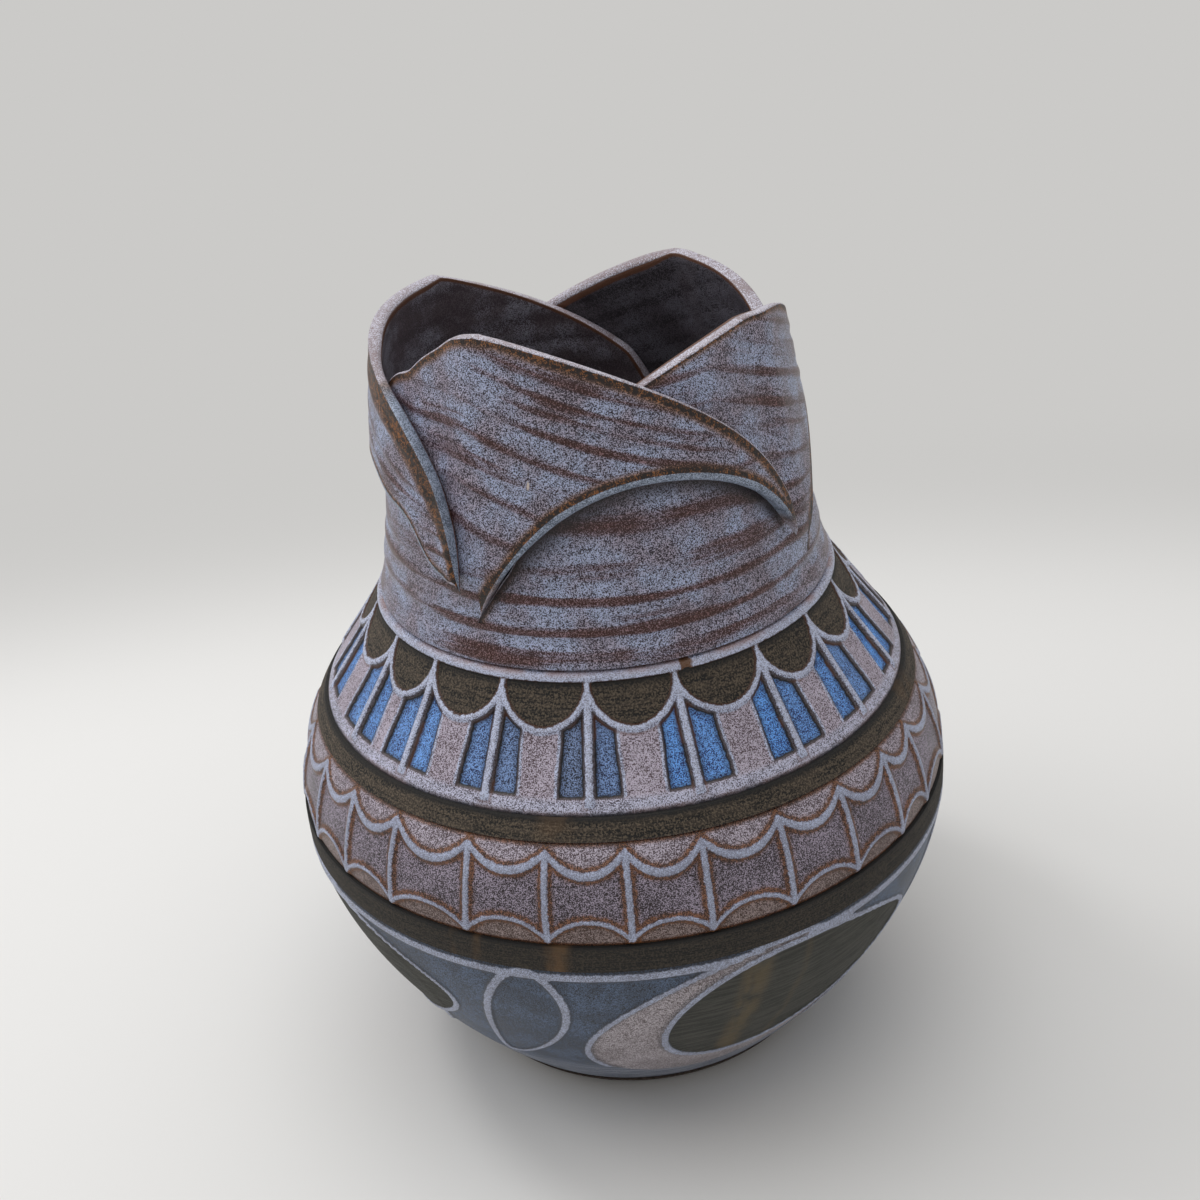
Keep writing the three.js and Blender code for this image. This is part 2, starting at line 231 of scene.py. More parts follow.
# %% [markdown]
# ## Carving
# A carved surface is described by functions of angle and height. Each gives how deep the clay
# lies under the turned surface, and a few marks: how far a point is from the nearest raised line,
# panel or dark area, in millimetres, negative inside it. The glaze reads the marks later, and
# because they are distances and not painted spots, its edges stay crisp between vertices.

# %% Cut a surface by its carving functions


def carve(piece, shape, z0, z1, inside_marks, edge_round=0.9, edge_drop=0.35):
    points = places(piece)
    angle, r, z = round_pot(points)
    outer = (np.abs(r - radius(z)) < 0.02) & (z > z0 - 0.01) & (z < z1 + 0.01)
    depth, marks = shape(angle[outer], z[outer])
    edge = np.minimum(along(z[outer]) - along(z0), along(z1) - along(z[outer]))
    depth = depth + edge_drop * (1 - smooth(edge / edge_round))
    tilt = slope(z[outer])
    size = np.sqrt(1 + tilt**2)
    r[outer] -= depth / size
    z[outer] += depth * tilt / size
    put(piece, from_round(angle, r, z))
    marks["edge"] = edge
    for name, values in marks.items():
        whole = np.full(len(points), inside_marks.get(name, 9.0))
        whole[outer] = values
        mark(piece, name, whole)
    inside = np.where(outer, 0.0, 1.0)
    inside[(r > under_surface(z, 2.2))] = 0.0
    mark(piece, "inside", inside)


def nearest(angle, stations):
    """Signed turn from the nearest station, and that station's number."""
    turns = (angle[:, None] - stations[None, :] + 180) % 360 - 180
    number = np.abs(turns).argmin(1)
    return turns[np.arange(len(angle)), number], number


def cells(angle, stations):
    """For the gap between two stations: turn from its middle, half its width, its number."""
    order = np.sort(stations % 360)
    after = np.searchsorted(order, angle % 360, side="right") % len(order)
    before = (after - 1) % len(order)
    width = (order[after] - order[before]) % 360
    turn_in = (angle % 360 - order[before]) % 360
    return turn_in - width / 2, width / 2, before


def uneven(seed, count, amount):
    return np.random.default_rng(seed).uniform(-amount, amount, count)


# %% [markdown]
# ## The shoulder
# Under the neck a pale raised line runs round the pot. Below it hang nineteen dark scallops, each
# edged by a raised line, and from every meeting of two scallops a rib runs down to the rim
# band, with a blue panel cut on each side of it. A potter spaces these by eye, so each rib is a
# little off its even place, and each panel has a width of its own.

# %% Carving of the shoulder
SHOULDER_LOW, SHOULDER_TOP = 102.55, 129.0
SCALLOPS = 19
SCALLOP_TOP, SCALLOP_LOW = 126.4, 118.6
SCALLOP_SQUARE = 1.8
RIB_HALF, EDGE_LINE = 0.95, 1.75
PANEL_LOW = 106.3
PANEL_WIDTHS = (6.1, 4.9)
POCKET = 1.3
rib_turns = -62.45 + 360 / SCALLOPS * np.arange(SCALLOPS)
rib_turns += np.concatenate([[1.0, -1.3, -1.2, -0.8, -0.2, 1.7, 0.9, -0.1], uneven(3, 11, 1.2)])
panel_extra = np.stack([uneven(5, SCALLOPS, 0.9), uneven(6, SCALLOPS, 0.9)], 1)
panel_tones = 0.5 + np.stack([uneven(8, SCALLOPS, 0.5), uneven(9, SCALLOPS, 0.5)], 1)
panel_tones[:8] = [[0.4, 0.3], [0.35, 0.3], [0.6, 0.85], [1, 0.8], [0.1, 0.2], [0, 0.3], [0.2, 0.5], [0, 0]]


def shoulder_marks(angle, z):
    r, s = radius(z), along(z)
    turn_off, rib = nearest(angle, rib_turns)
    across = np.radians(turn_off) * r
    middle, half, _ = cells(angle, rib_turns)
    reach = np.radians(half) * r - 0.95
    drop = along(SCALLOP_TOP) - along(SCALLOP_LOW)
    u = np.abs(np.radians(middle) * r) / reach
    v = np.maximum(along(SCALLOP_TOP) - s, 0) / drop
    p = SCALLOP_SQUARE
    q = np.maximum((u**p + v**p) ** (1 / p), 0.05)
    steep = np.hypot((u / q) ** (p - 1) / reach, (v / q) ** (p - 1) / drop)
    scallop = np.where(s > along(SCALLOP_TOP), s - along(SCALLOP_TOP), (q - 1) / steep)
    side = (across > 0).astype(int)
    share = smooth((s - along(PANEL_LOW)) / 14)
    width = PANEL_WIDTHS[0] + (PANEL_WIDTHS[1] - PANEL_WIDTHS[0]) * share + panel_extra[rib, side]
    away = np.abs(across)
    outer_edge = RIB_HALF + 0.25 + width
    below = np.where(s > along(SCALLOP_TOP) - 0.5, -9, scallop)
    pane = np.maximum.reduce([
        RIB_HALF + 0.25 - away,
        away - outer_edge,
        EDGE_LINE + 0.35 - below,
        along(PANEL_LOW) - s,
    ])
    rib_line = np.maximum(away - RIB_HALF, along(PANEL_LOW - 1.5) - s)
    line = np.minimum(np.abs(scallop - EDGE_LINE / 2 - 0.05) - EDGE_LINE / 2, rib_line)
    line = np.where(s > along(SCALLOP_TOP), np.abs(s - along(SCALLOP_TOP + 1.15)) - 1.15, line)
    border = np.maximum(np.abs(away - outer_edge - 0.5) - 0.35, EDGE_LINE - below)
    border = np.maximum(border, along(PANEL_LOW) - s)
    tone = panel_tones[rib, side]
    return scallop, line, pane, border, tone, s


NICK_AT = (16.2, 127.6)


def shoulder_shape(angle, z):
    scallop, line, pane, border, tone, s = shoulder_marks(angle, z)
    ground = 0.58 * smooth((line + 0.8) / 1.5)
    panel_cut = 0.62 * smooth((0.35 - pane) / 0.8)
    pocket = (POCKET - 0.1) * smooth((0.25 - scallop) / 0.7)
    rise = 0.16 * (1 - smooth(np.abs(border) / 0.7))
    crease = 0.45 * (1 - smooth((along(SHOULDER_TOP) - s) / 0.9))
    across = ((angle - NICK_AT[0] + 180) % 360 - 180) * np.radians(radius(z))
    nick = np.hypot(across / 1.1, (s - along(NICK_AT[1])) / 2.1) - 1
    depth = np.maximum(ground, pocket) + panel_cut - rise + crease
    depth = depth + 0.45 * smooth((0.5 - nick) / 1.0)
    marks = {"line": line, "pane": pane, "border": border, "slip": scallop, "tone": tone}
    marks["nick"] = nick
    return depth, marks


shoulder_section = (
    [groove(100.4), groove(SHOULDER_LOW)]
    + outside_run(SHOULDER_LOW, SHOULDER_TOP)
    + inside_run(SHOULDER_TOP, 100.4, 10)
)
shoulder = turn("shoulder", shoulder_section, 1080)
carve(shoulder, shoulder_shape, SHOULDER_LOW, SHOULDER_TOP, {"tone": 0.0}, 1.5, 0.6)
finish_piece(shoulder, "blue_glaze", "shoulder_wall")

# %% [markdown]
# ## The scalloped slip
# The dark scallops are bare slip, left where the glaze was waxed off. They lie a little deeper
# than the raised lines. One thin ring of slip carries them all: its lower edge follows the
# scallops, and the raised lines of the shoulder pass over it between them.

# %% The scalloped ring of slip
SLIP_DEPTH, SLIP_BODY = 0.5, 0.75
ring_low, ring_high = SCALLOP_LOW - 0.25, SCALLOP_TOP + 0.3


def ring_section(low, high, steps, depth, body):
    front = [(float(under_surface(z, depth)), z) for z in np.linspace(low, high, steps + 1)]
    back = [(float(under_surface(z, depth + body)), z) for z in np.linspace(high, low, steps + 1)]
    return front + back


slip_ring = turn("scalloped_slip", ring_section(ring_low, ring_high, 16, SLIP_DEPTH, SLIP_BODY), 1080)
points = places(slip_ring)
angle, r, z = round_pot(points)
middle, half, _ = cells(angle, rib_turns)
share = np.clip(np.abs(np.radians(middle) * radius(121.0)) / (np.radians(half) * radius(121.0) - 1.0), 0, 1)
curve = (1 - share**SCALLOP_SQUARE) ** (1 / SCALLOP_SQUARE)
low_edge = ring_high - 1.6 - (ring_high - 1.6 - ring_low) * curve
into = radius(z) - r
new_z = ring_high - (ring_high - z) / (ring_high - ring_low) * (ring_high - low_edge)
depth_kept = into / np.sqrt(1 + slope(z) ** 2)
put(slip_ring, from_round(angle, under_surface(new_z, depth_kept), new_z))
mark(slip_ring, "shade", 1 - smooth((SCALLOP_TOP - new_z) / 2.2))
finish_piece(slip_ring, "dark_slip", "scallop_slip_ring")

# %% [markdown]
# ## The belly
# Between the two dark bands stands an arcade: thin ribs, swags hung between their tops, and low
# arches between their feet. The lines are raised and the ground is carved away beside them.

# %% Carving of the belly
BELLY_LOW, BELLY_TOP = 75.45, 98.25
RIBS = 28
RIB_LOW, RIB_TOP = 77.0, 96.4
SWAG_LOW, ARCH_TOP = 91.9, 81.4
belly_turns = -54.6 + 360 / RIBS * np.arange(RIBS)
belly_turns += np.concatenate([[0, -0.6, 1.4, 2.0, 2.1, 1.7, 2.4, 2.5, 1.9], uneven(11, 19, 1.3)])


def curve_distance(s, s_curve, rise):
    return np.abs(s - s_curve) / np.sqrt(1 + rise**2)


def belly_shape(angle, z):
    r, s = radius(z), along(z)
    turn_off, rib = nearest(angle, belly_turns)
    bow = 0.35 * np.sin(3.0 * rib + 1.0) * np.sin(np.pi * (z - RIB_LOW) / (RIB_TOP - RIB_LOW))
    across = np.radians(turn_off) * r - bow
    middle, half, cell = cells(angle, belly_turns)
    wide = np.radians(half) * r
    x = np.radians(middle) * r / wide
    sag = along(SWAG_LOW + 0.5 * np.sin(2.3 * cell))
    top = along(RIB_TOP)
    swag_s = sag + (top - sag) * np.abs(x) ** 2.1
    swag_rise = (top - sag) * 2.1 * np.abs(x) ** 1.1 / wide
    swag = curve_distance(s, swag_s, swag_rise) - (0.75 + 0.42 * (1 - x**2))
    crown = along(ARCH_TOP + 0.4 * np.sin(1.7 * cell + 2))
    foot = along(RIB_LOW)
    arch_s = crown - (crown - foot) * np.abs(x) ** 2.3
    arch_rise = (crown - foot) * 2.3 * np.abs(x) ** 1.3 / wide
    arch = curve_distance(s, arch_s, arch_rise) - 0.68
    rib_line = np.maximum.reduce([np.abs(across) - 0.9, s - along(RIB_TOP), foot - s - 0.6])
    line = np.minimum.reduce([rib_line, swag, arch])
    over_swag = smooth((s - swag_s) / 1.6)
    under_arch = smooth((arch_s - s) / 1.2)
    ground = 0.75 * smooth((line + 0.75) / 1.6) * (1 - 0.4 * over_swag)
    marks = {"line": line, "over": over_swag, "under": under_arch, "arch": arch}
    return ground, marks


belly_section = (
    [groove(72.0), groove(BELLY_LOW)]
    + outside_run(BELLY_LOW, BELLY_TOP)
    + [groove(BELLY_TOP), groove(100.35)]
    + inside_run(100.35, 72.0, 8)
)
belly = turn("belly", belly_section, 1080)
carve(belly, belly_shape, BELLY_LOW, BELLY_TOP, {"over": 0.0, "under": 0.0})
finish_piece(belly, "mauve_glaze", "belly_wall")

# %% [markdown]
# ## The lower bowl
# Under the lower band the carving is larger: broad leaning drops of bare dark slip, each with a
# pale crescent round its blunt end, and an upright leaf drawn in raised line between them. The
# four groups here are an even, repeated ornament of common shapes, in the colours and scale of the
# real pot's.

# %% Carving of the lower bowl
BOWL_LOW, BOWL_TOP = 4.0, 68.55
GROUPS = 4
DROP_AT, LEAF_AT = 27.0, -20.5


def oval(x, y, wide, tall, lean=0.0):
    """Distance in millimetres, about, from an oval's edge."""
    c, n = math.cos(lean), math.sin(lean)
    a, b = (c * x + n * y) / wide, (c * y - n * x) / tall
    q = np.maximum(np.hypot(a, b), 0.03)
    return (q - 1) * q / np.maximum(np.hypot(a / wide, b / tall), 1e-6)


def stained(angle, z, stains):
    """Where glaze ran over the slip: each stain has a place, a half width and a strength."""
    total = np.zeros(len(angle))
    for at, wide, strength in stains:
        off = (angle - at - 0.08 * (z - 60) + 180) % 360 - 180
        total += strength * np.exp(-((off / wide) ** 4))
    return total


def bowl_shape(angle, z):
    s = along(z)
    spread = np.radians(0.6 * radius(z) + 0.4 * 78.0)
    to_drop = ((angle - DROP_AT + 45) % (360 / GROUPS) - 45) * spread
    to_leaf = ((angle - LEAF_AT + 45) % (360 / GROUPS) - 45) * spread
    y = s - along(44.0)
    taper = 1 - 0.32 * np.clip(to_drop / 36, -1, 1.2)
    drop = oval(to_drop - 3.0, (y - 0.12 * to_drop - 1.0) / taper, 34.0, 21.0)
    moon = oval(to_drop + 11.0, y + 3.5 - 0.12 * to_drop, 39.0, 29.5)
    crescent = np.maximum(moon, 1.2 - drop)
    leaf_y = s - along(45.0)
    leaf_x = to_leaf + 0.0065 * (leaf_y - 16) ** 2 * (leaf_y < 16) - 0.10 * leaf_y
    leaf = oval(leaf_x / (0.55 + 0.45 * smooth((leaf_y + 30) / 45)), leaf_y, 10.5, 23.5)
    top_line = np.abs(s - along(66.7)) - 1.0
    line = np.minimum.reduce([
        np.abs(drop - 1.0) - 0.85,
        np.abs(moon) - 0.8,
        np.abs(leaf) - 0.95,
        top_line,
    ])
    line = np.where(drop < 0, np.maximum(line, 0.2), line)
    line = np.where((moon < -0.8) & (drop > 1.7), np.maximum(line, 0.5), line)
    line = np.maximum(line, (22 - z) * 0.4)
    depth = 0.4 * smooth((line + 0.35) / 1.0)
    turning = 0.07 * (1 + np.sin(2 * np.pi * z / 2.1)) * smooth((26 - z) / 14)
    depth = depth + turning + 0.12 * smooth((0.4 - drop) / 0.8)
    marks = {"line": line, "slip": drop, "moon": crescent, "leaf": leaf}
    marks["stain"] = stained(angle, z, [(18.5, 2.6, 0.7), (28, 0.9, 0.25), (127, 2, 0.6), (205, 2, 0.5)])
    return depth, marks


floor_low, floor_top, fillet = 4.3, 10.8, 6.0
corner = (float(under_surface(floor_top + fillet, WALL)), floor_top + fillet)
fillet_run = [
    (corner[0] - fillet * (1 - math.cos(t)), corner[1] - fillet * math.sin(t))
    for t in np.linspace(0, math.pi / 2, 6)
]
bowl_section = (
    [(0.0, floor_low), (20.0, floor_low), (38.0, floor_low), (38.4, BOWL_LOW)]
    + outside_run(BOWL_LOW, BOWL_TOP, 0.85)
    + [groove(BOWL_TOP), groove(71.95)]
    + inside_run(71.95, floor_top + fillet, 14)[:-1]
    + fillet_run
    + [(20.0, floor_top), (0.0, floor_top)]
)
bowl = turn("lower_bowl_turned", bowl_section, 860, closed=False)
carve(bowl, bowl_shape, BOWL_LOW, BOWL_TOP, {})
finish_piece(bowl, "slate_glaze", "lower_bowl")

# %% [markdown]
# ## The dark bands and the foot
# The bands are bare slip in shallow grooves, with fine ridges left by the brush as the wheel
# turned. The foot is a plain turned ring of bare clay, with its edges softened by a sponge.

# %% Slip bands and foot ring
BAND_DEPTH = 0.22


def slip_band(name, low, high, node, stains):
    rows = int((high - low) / 0.22)
    band = turn(name, ring_section(low, high, rows, BAND_DEPTH, 1.1), 720)
    points = places(band)
    angle, r, z = round_pot(points)
    brushed = 0.05 * np.sin(2 * np.pi * (z - low) / 0.62 + 0.8 * np.sin(np.radians(3 * angle)))
    edge = np.minimum(z - low, high - z)
    mark(band, "stain", stained(angle, z, stains))
    mark(band, "shade", 1 - smooth((high - z) / 1.3))
    front = r > under_surface(z, BAND_DEPTH + 0.3)
    r = r + np.where(front, brushed * smooth(edge / 0.5), 0)
    put(band, from_round(angle, r, z))
    finish_piece(band, "dark_slip", node)
    return band


lower_stains = [(-31, 0.8, 0.6), (-27, 0.7, 0.5), (-14, 2.1, 0.9), (118, 3, 0.8), (203, 2, 0.8)]
upper_stains = [(-16, 3, 0.35), (64, 4, 0.4), (170, 3, 0.5)]
lower_band = slip_band("lower_band", BOWL_TOP + 0.05, BELLY_LOW - 0.05, "lower_slip_band", lower_stains)
upper_band = slip_band("upper_band", BELLY_TOP + 0.05, SHOULDER_LOW - 0.05, "upper_slip_band", upper_stains)

foot_section = [
    (45.3, 0.0), (45.9, 0.2), (46.3, 0.7), (float(radius(2.4)), 2.4), (float(radius(3.8)), 3.8),
    (38.0, 4.0), (37.9, 3.2), (38.3, 1.0), (38.8, 0.25), (39.5, 0.0),
]
foot = turn("foot_ring_turned", foot_section, 256)
start_clean()
bpy.context.view_layer.objects.active = foot
soften = foot.modifiers.new("sponge", "BEVEL")
soften.width = 0.25 * MM
soften.segments = 2
bpy.ops.object.modifier_apply(modifier="sponge")
finish_piece(foot, "bare_clay", "foot_ring")

# %% [markdown]
# ## The neck
# Above the crease the wall shows the rings left by the potter's fingers: soft ridges about six
# millimetres apart. The same function makes them on the collar and on the petals, so they run
# on across the cuts. It also tells the glaze where the crests are, because the glaze runs thin
# there and shows the iron in the clay.

# %% Throwing rings and the collar
PETAL_LOW = 137.35
RING_PITCH = 6.2


# A small pale spot on the front petal.
PALE_SPOT_AT = (-16.6, 170.2)


def level_of(angle, z, middle):
    """The height a point was thrown at: bending a petal made its rings droop to one side."""
    return z + 0.3 * np.clip(angle - middle, -25, 45) * smooth((z - 148) / 20)


def throwing_rings(angle, level):
    turned = np.radians(angle)
    phase = 0.9 * np.sin(turned + 0.6) + 0.5 * np.sin(2 * turned + 2.0)
    swell = 0.8 + 0.2 * np.sin(turned + level / 17.0)
    main = np.sin(2 * np.pi * level / RING_PITCH + phase)
    fine = 0.45 * np.sin(2 * np.pi * level / 3.7 + 1.7 * phase + 1.0)
    return (main * swell + fine) / 1.45


def ring_height(angle, level):
    return 0.22 * throwing_rings(angle, level) * smooth((level - 130.0) / 3.0)


def streak_mark(angle, level, z):
    """The rings as the glaze shows them: fainter at the front's upper left and on the left side."""
    off = (angle + 180) % 360 - 180
    left = 0.4 * smooth((-38 - off) / 14) * smooth((off + 130) / 20)
    high = 0.4 * smooth((z - 154) / 18) * smooth((-6 - off) / 16) * smooth((off + 62) / 12)
    kept = (1 - high) * (1 - left)
    return throwing_rings(angle, level) * kept - 0.3 * (1 - kept)


def neck_surface(angle, z):
    lean = -0.8 * np.sin(np.radians(angle)) * smooth((z - NECK_HEIGHT) / 50.0)
    return radius(z) + lean


def collar_shape(angle, z):
    crease = 0.5 * (1 - smooth((along(z) - along(SHOULDER_TOP)) / 1.1))
    marks = {"ring": streak_mark(angle, z, z), "level": z, "cut": np.full(len(z), 9.0)}
    marks["burn"] = marks["pit"] = np.full(len(z), 9.0)
    marks["shade"] = marks["lip"] = marks["lining"] = np.zeros(len(z))
    return crease - ring_height(angle, z), marks


collar_section = outside_run(SHOULDER_TOP, PETAL_LOW) + inside_run(PETAL_LOW, SHOULDER_TOP, 4)
collar = turn("collar", collar_section, 720)
collar_inside = {"ring": 0.0, "shade": 0.0, "lip": 0.0, "lining": 0.0}
carve(collar, collar_shape, SHOULDER_TOP, PETAL_LOW, collar_inside, edge_drop=0.0)
finish_piece(collar, "petal_glaze", "neck_collar")

# %% [markdown]
# ## The petals
# Four cuts open the neck. From each cut the clay on one side is lifted outwards and ends in a
# point; the clay on the other side is tucked in behind it. So every petal starts inside the one
# before it, rises to its peak, and ends outside the next one. Its rim is a curve, and so is the
# arch cut under its free end.
# A petal starts as a flat grid. The grid's rows are wrapped round a rounded slab section, its
# columns go round the neck, and the two ends are closed.

# %% Petal outlines
LAP, TUCK, TUCK_TURN, STEP_TURN = 0.25, 2.0, 70.0, 11.0
LIFT_TURN, LIFT_RISE = 14.0, 12.0
PETALS = [
    dict(name="front", slit=-33.0, tip=53.5, tip_z=144.0, peak=-30.0, peak_z=200.5,
         rise=(1.15, 0.66), fall=(1.42, 0.46), arch=27.6,
         rim_dents=((-57.0, 5.0, 1.2), (-37.5, 5.5, -0.9), (-30.0, 4.0, 0.25)), rim_iron=(1.6, 2.2), arch_iron=1.3,
         droop=-10.0),
    dict(name="right", slit=62.0, tip=140.0, tip_z=142.0, peak=62.0, peak_z=195.0,
         rise=(2.3, 0.58), fall=(1.47, 0.6), arch=28.0,
         rim_dents=((64.0, 7.0, 0.4),), rim_iron=(0.9, 1.6), arch_iron=1.0, droop=60.0),
    dict(name="back", slit=146.0, tip=224.0, tip_z=142.0, peak=147.0, peak_z=193.6,
         rise=(1.7, 0.4), fall=(1.11, 0.44), arch=28.0,
         rim_dents=((147.0, 6.0, 0.4),), rim_iron=(1.0, 1.8), arch_iron=1.2, droop=150.0),
    dict(name="left", slit=230.0, tip=324.5, tip_z=145.5, peak=230.0, peak_z=194.6,
         rise=(1.02, 0.46), fall=(2.8, 0.46), arch=23.0,
         rim_dents=(), rim_iron=(1.0, 6.0), arch_iron=0.6, bevel=1.1, droop=285.0, pale_until=292.0,
         lining=1.0,
         arch_dents=((316.0, 7.0, 6.2), (300.0, 9.0, 2.6))),
]


def dented(angle, dents):
    """How far an edge is pressed down by hand: each dent has a place, a width and a depth."""
    return sum(deep * np.exp(-(((angle - at) / wide) ** 2)) for at, wide, deep in dents) + 0 * angle


def slit_before(k):
    return PETALS[k - 1]["slit"] - (360.0 if k == 0 else 0.0)


def arch_height(k, angle):
    petal = PETALS[k]
    way = np.clip((angle - petal["slit"]) / (petal["tip"] - petal["slit"]), 0, 1)
    arch = petal["arch"] * (4 * way * (1 - way)) ** (0.85 - 0.2 * way)
    arch = arch - dented(angle, petal.get("arch_dents", ()))
    return np.maximum(PETAL_LOW + (petal["tip_z"] - PETAL_LOW) * way + arch, PETAL_LOW)


def rim_height(k, angle):
    petal = PETALS[k]
    way = np.clip((angle - petal["peak"]) / (petal["tip"] - petal["peak"]), 0, 1)
    bend, fullness = petal["fall"]
    falling = petal["tip_z"] + (petal["peak_z"] - petal["tip_z"]) * (1 - way**bend) ** fullness
    way = np.clip((petal["peak"] - angle) / (petal["peak"] - slit_before(k)), 0, 1)
    bend, fullness = petal["rise"]
    rising = PETAL_LOW + (petal["peak_z"] - PETAL_LOW) * (1 - way**bend) ** fullness
    return np.where(angle > petal["peak"], falling, rising) - dented(angle, petal["rim_dents"])


def top_height(k, angle):
    turn_in = angle - slit_before(k)
    j = (k - 1) % len(PETALS)
    arch = arch_height(j, PETALS[j]["slit"] + turn_in) - 0.35
    top = arch + (rim_height(k, angle) - arch) * smooth((turn_in - 8) / 12)
    return np.maximum(np.where(turn_in > 20, rim_height(k, angle), top), PETAL_LOW + 0.3)


def low_height(k, angle):
    return np.where(angle > PETALS[k]["slit"], arch_height(k, angle), PETAL_LOW)


def tucked(k, angle):
    tuck = -TUCK * (1 - smooth((angle - slit_before(k)) / TUCK_TURN))
    step = smooth((angle - PETALS[k]["slit"] + STEP_TURN) / STEP_TURN)
    return tuck + step * (PETAL_WALL + LAP - TUCK)


def stand_off(k, angle, z):
    risen = smooth((z - PETAL_LOW) / LIFT_RISE)
    j = (k + 1) % len(PETALS)
    slit = PETALS[k]["slit"]
    under = tucked(j, slit_before(j) + angle - slit) * risen
    lifted = risen + (1 - risen) * smooth((angle - slit) / LIFT_TURN)
    return np.where(angle < slit, tucked(k, angle) * risen, under + (PETAL_WALL + LAP) * lifted)


# %% Wrap a grid into a petal
OUT, CORNER, FLAT, BEVEL, IN, LIP = 84, 3, 3, 9, 26, 8
LIP_TALL, IRON_FADE = 1.9, 1.5
SECTION = OUT + CORNER + FLAT + BEVEL + IN + FLAT + LIP


def petal_columns(k):
    start, slit, tip = slit_before(k) + 0.3, PETALS[k]["slit"], PETALS[k]["tip"]
    stops = [(start, 0.5), (start + 20, 0.8), (slit - 2, 0.25), (slit + 8, 0.6), (tip - 7, 0.22)]
    runs = []
    for (a, step), (b, _) in zip(stops, stops[1:] + [(tip, 0)]):
        runs.append(np.linspace(a, b, int((b - a) / step) + 1)[:-1])
    return np.concatenate(runs + [[tip]])


def edge_steepness(angles, edge, r):
    rise = np.gradient(edge, np.radians(angles) * r)
    return np.clip(np.sqrt(1 + rise**2), 1, 3.2)


def quarter(t, wide, tall):
    return wide * (1 - np.cos(t)), tall * np.sin(t)


def petal_section(low, top, lip, top_steep, low_steep, bevel_mm):
    """Depths and heights of one slab section, outside first. lip is 0 where it is attached."""
    room = top - low
    corner = min(0.35 * top_steep, 0.1 * room)
    bevel = min(bevel_mm * top_steep, 0.36 * room)
    lip_up = min(LIP_TALL * low_steep, 0.3 * room) * lip
    t = np.linspace(0, 1, OUT, endpoint=False)
    parts = [(np.zeros(OUT), low + lip_up + (room - lip_up - corner) * t)]
    t = np.linspace(0, np.pi / 2, CORNER, endpoint=False)
    parts.append((0.35 * (1 - np.cos(t)), top - corner + corner * np.sin(t)))
    t = np.linspace(0, 1, FLAT, endpoint=False)
    parts.append((0.35 + 0.75 * t, np.full(FLAT, top)))
    t = np.linspace(0, np.pi / 2, BEVEL, endpoint=False)
    parts.append((1.1 + (PETAL_WALL - 1.1) * np.sin(t), top - bevel * (1 - np.cos(t))))
    t = np.linspace(0, 1, IN, endpoint=False)
    parts.append((np.full(IN, PETAL_WALL), top - bevel - (room - bevel - 0.4 * lip) * t))
    t = np.linspace(0, 1, FLAT, endpoint=False)
    flat_end = 1.7 * lip
    parts.append((PETAL_WALL - (PETAL_WALL - flat_end) * t, low + 0.4 * lip * (1 - t)))
    t = np.linspace(0, np.pi / 2, LIP, endpoint=False)
    parts.append((flat_end * (1 - np.sin(t)), low + lip_up * (1 - np.cos(t))))
    depths = np.concatenate([p[0] for p in parts])
    zs = np.concatenate([p[1] for p in parts])
    return depths, zs


def crevice(k, angle, z):
    """1 close under the arch of the petal before, where this one comes out, fading downwards."""
    j = (k - 1) % len(PETALS)
    over = PETALS[j]["slit"] + (angle - slit_before(k))
    below = arch_height(j, over) - z
    way = np.clip((over - PETALS[j]["slit"]) / (PETALS[j]["tip"] - PETALS[j]["slit"]), 0, 1)
    reach = 3.2 + 3.8 * smooth(way / 0.12) * (1 - 0.6 * smooth((way - 0.25) / 0.4))
    fade = (1 - smooth((below - 0.6) / reach)) * smooth((1 - way) / 0.04)
    return np.where((below > -1.5) & (over < PETALS[j]["tip"]), fade, 0.0)


def burnt(distance, width):
    """0 at an edge, 1 where its iron brown ends, 2 where the last of the brown has faded."""
    return np.where(distance < width, distance / width, 1 + (distance - width) / IRON_FADE)


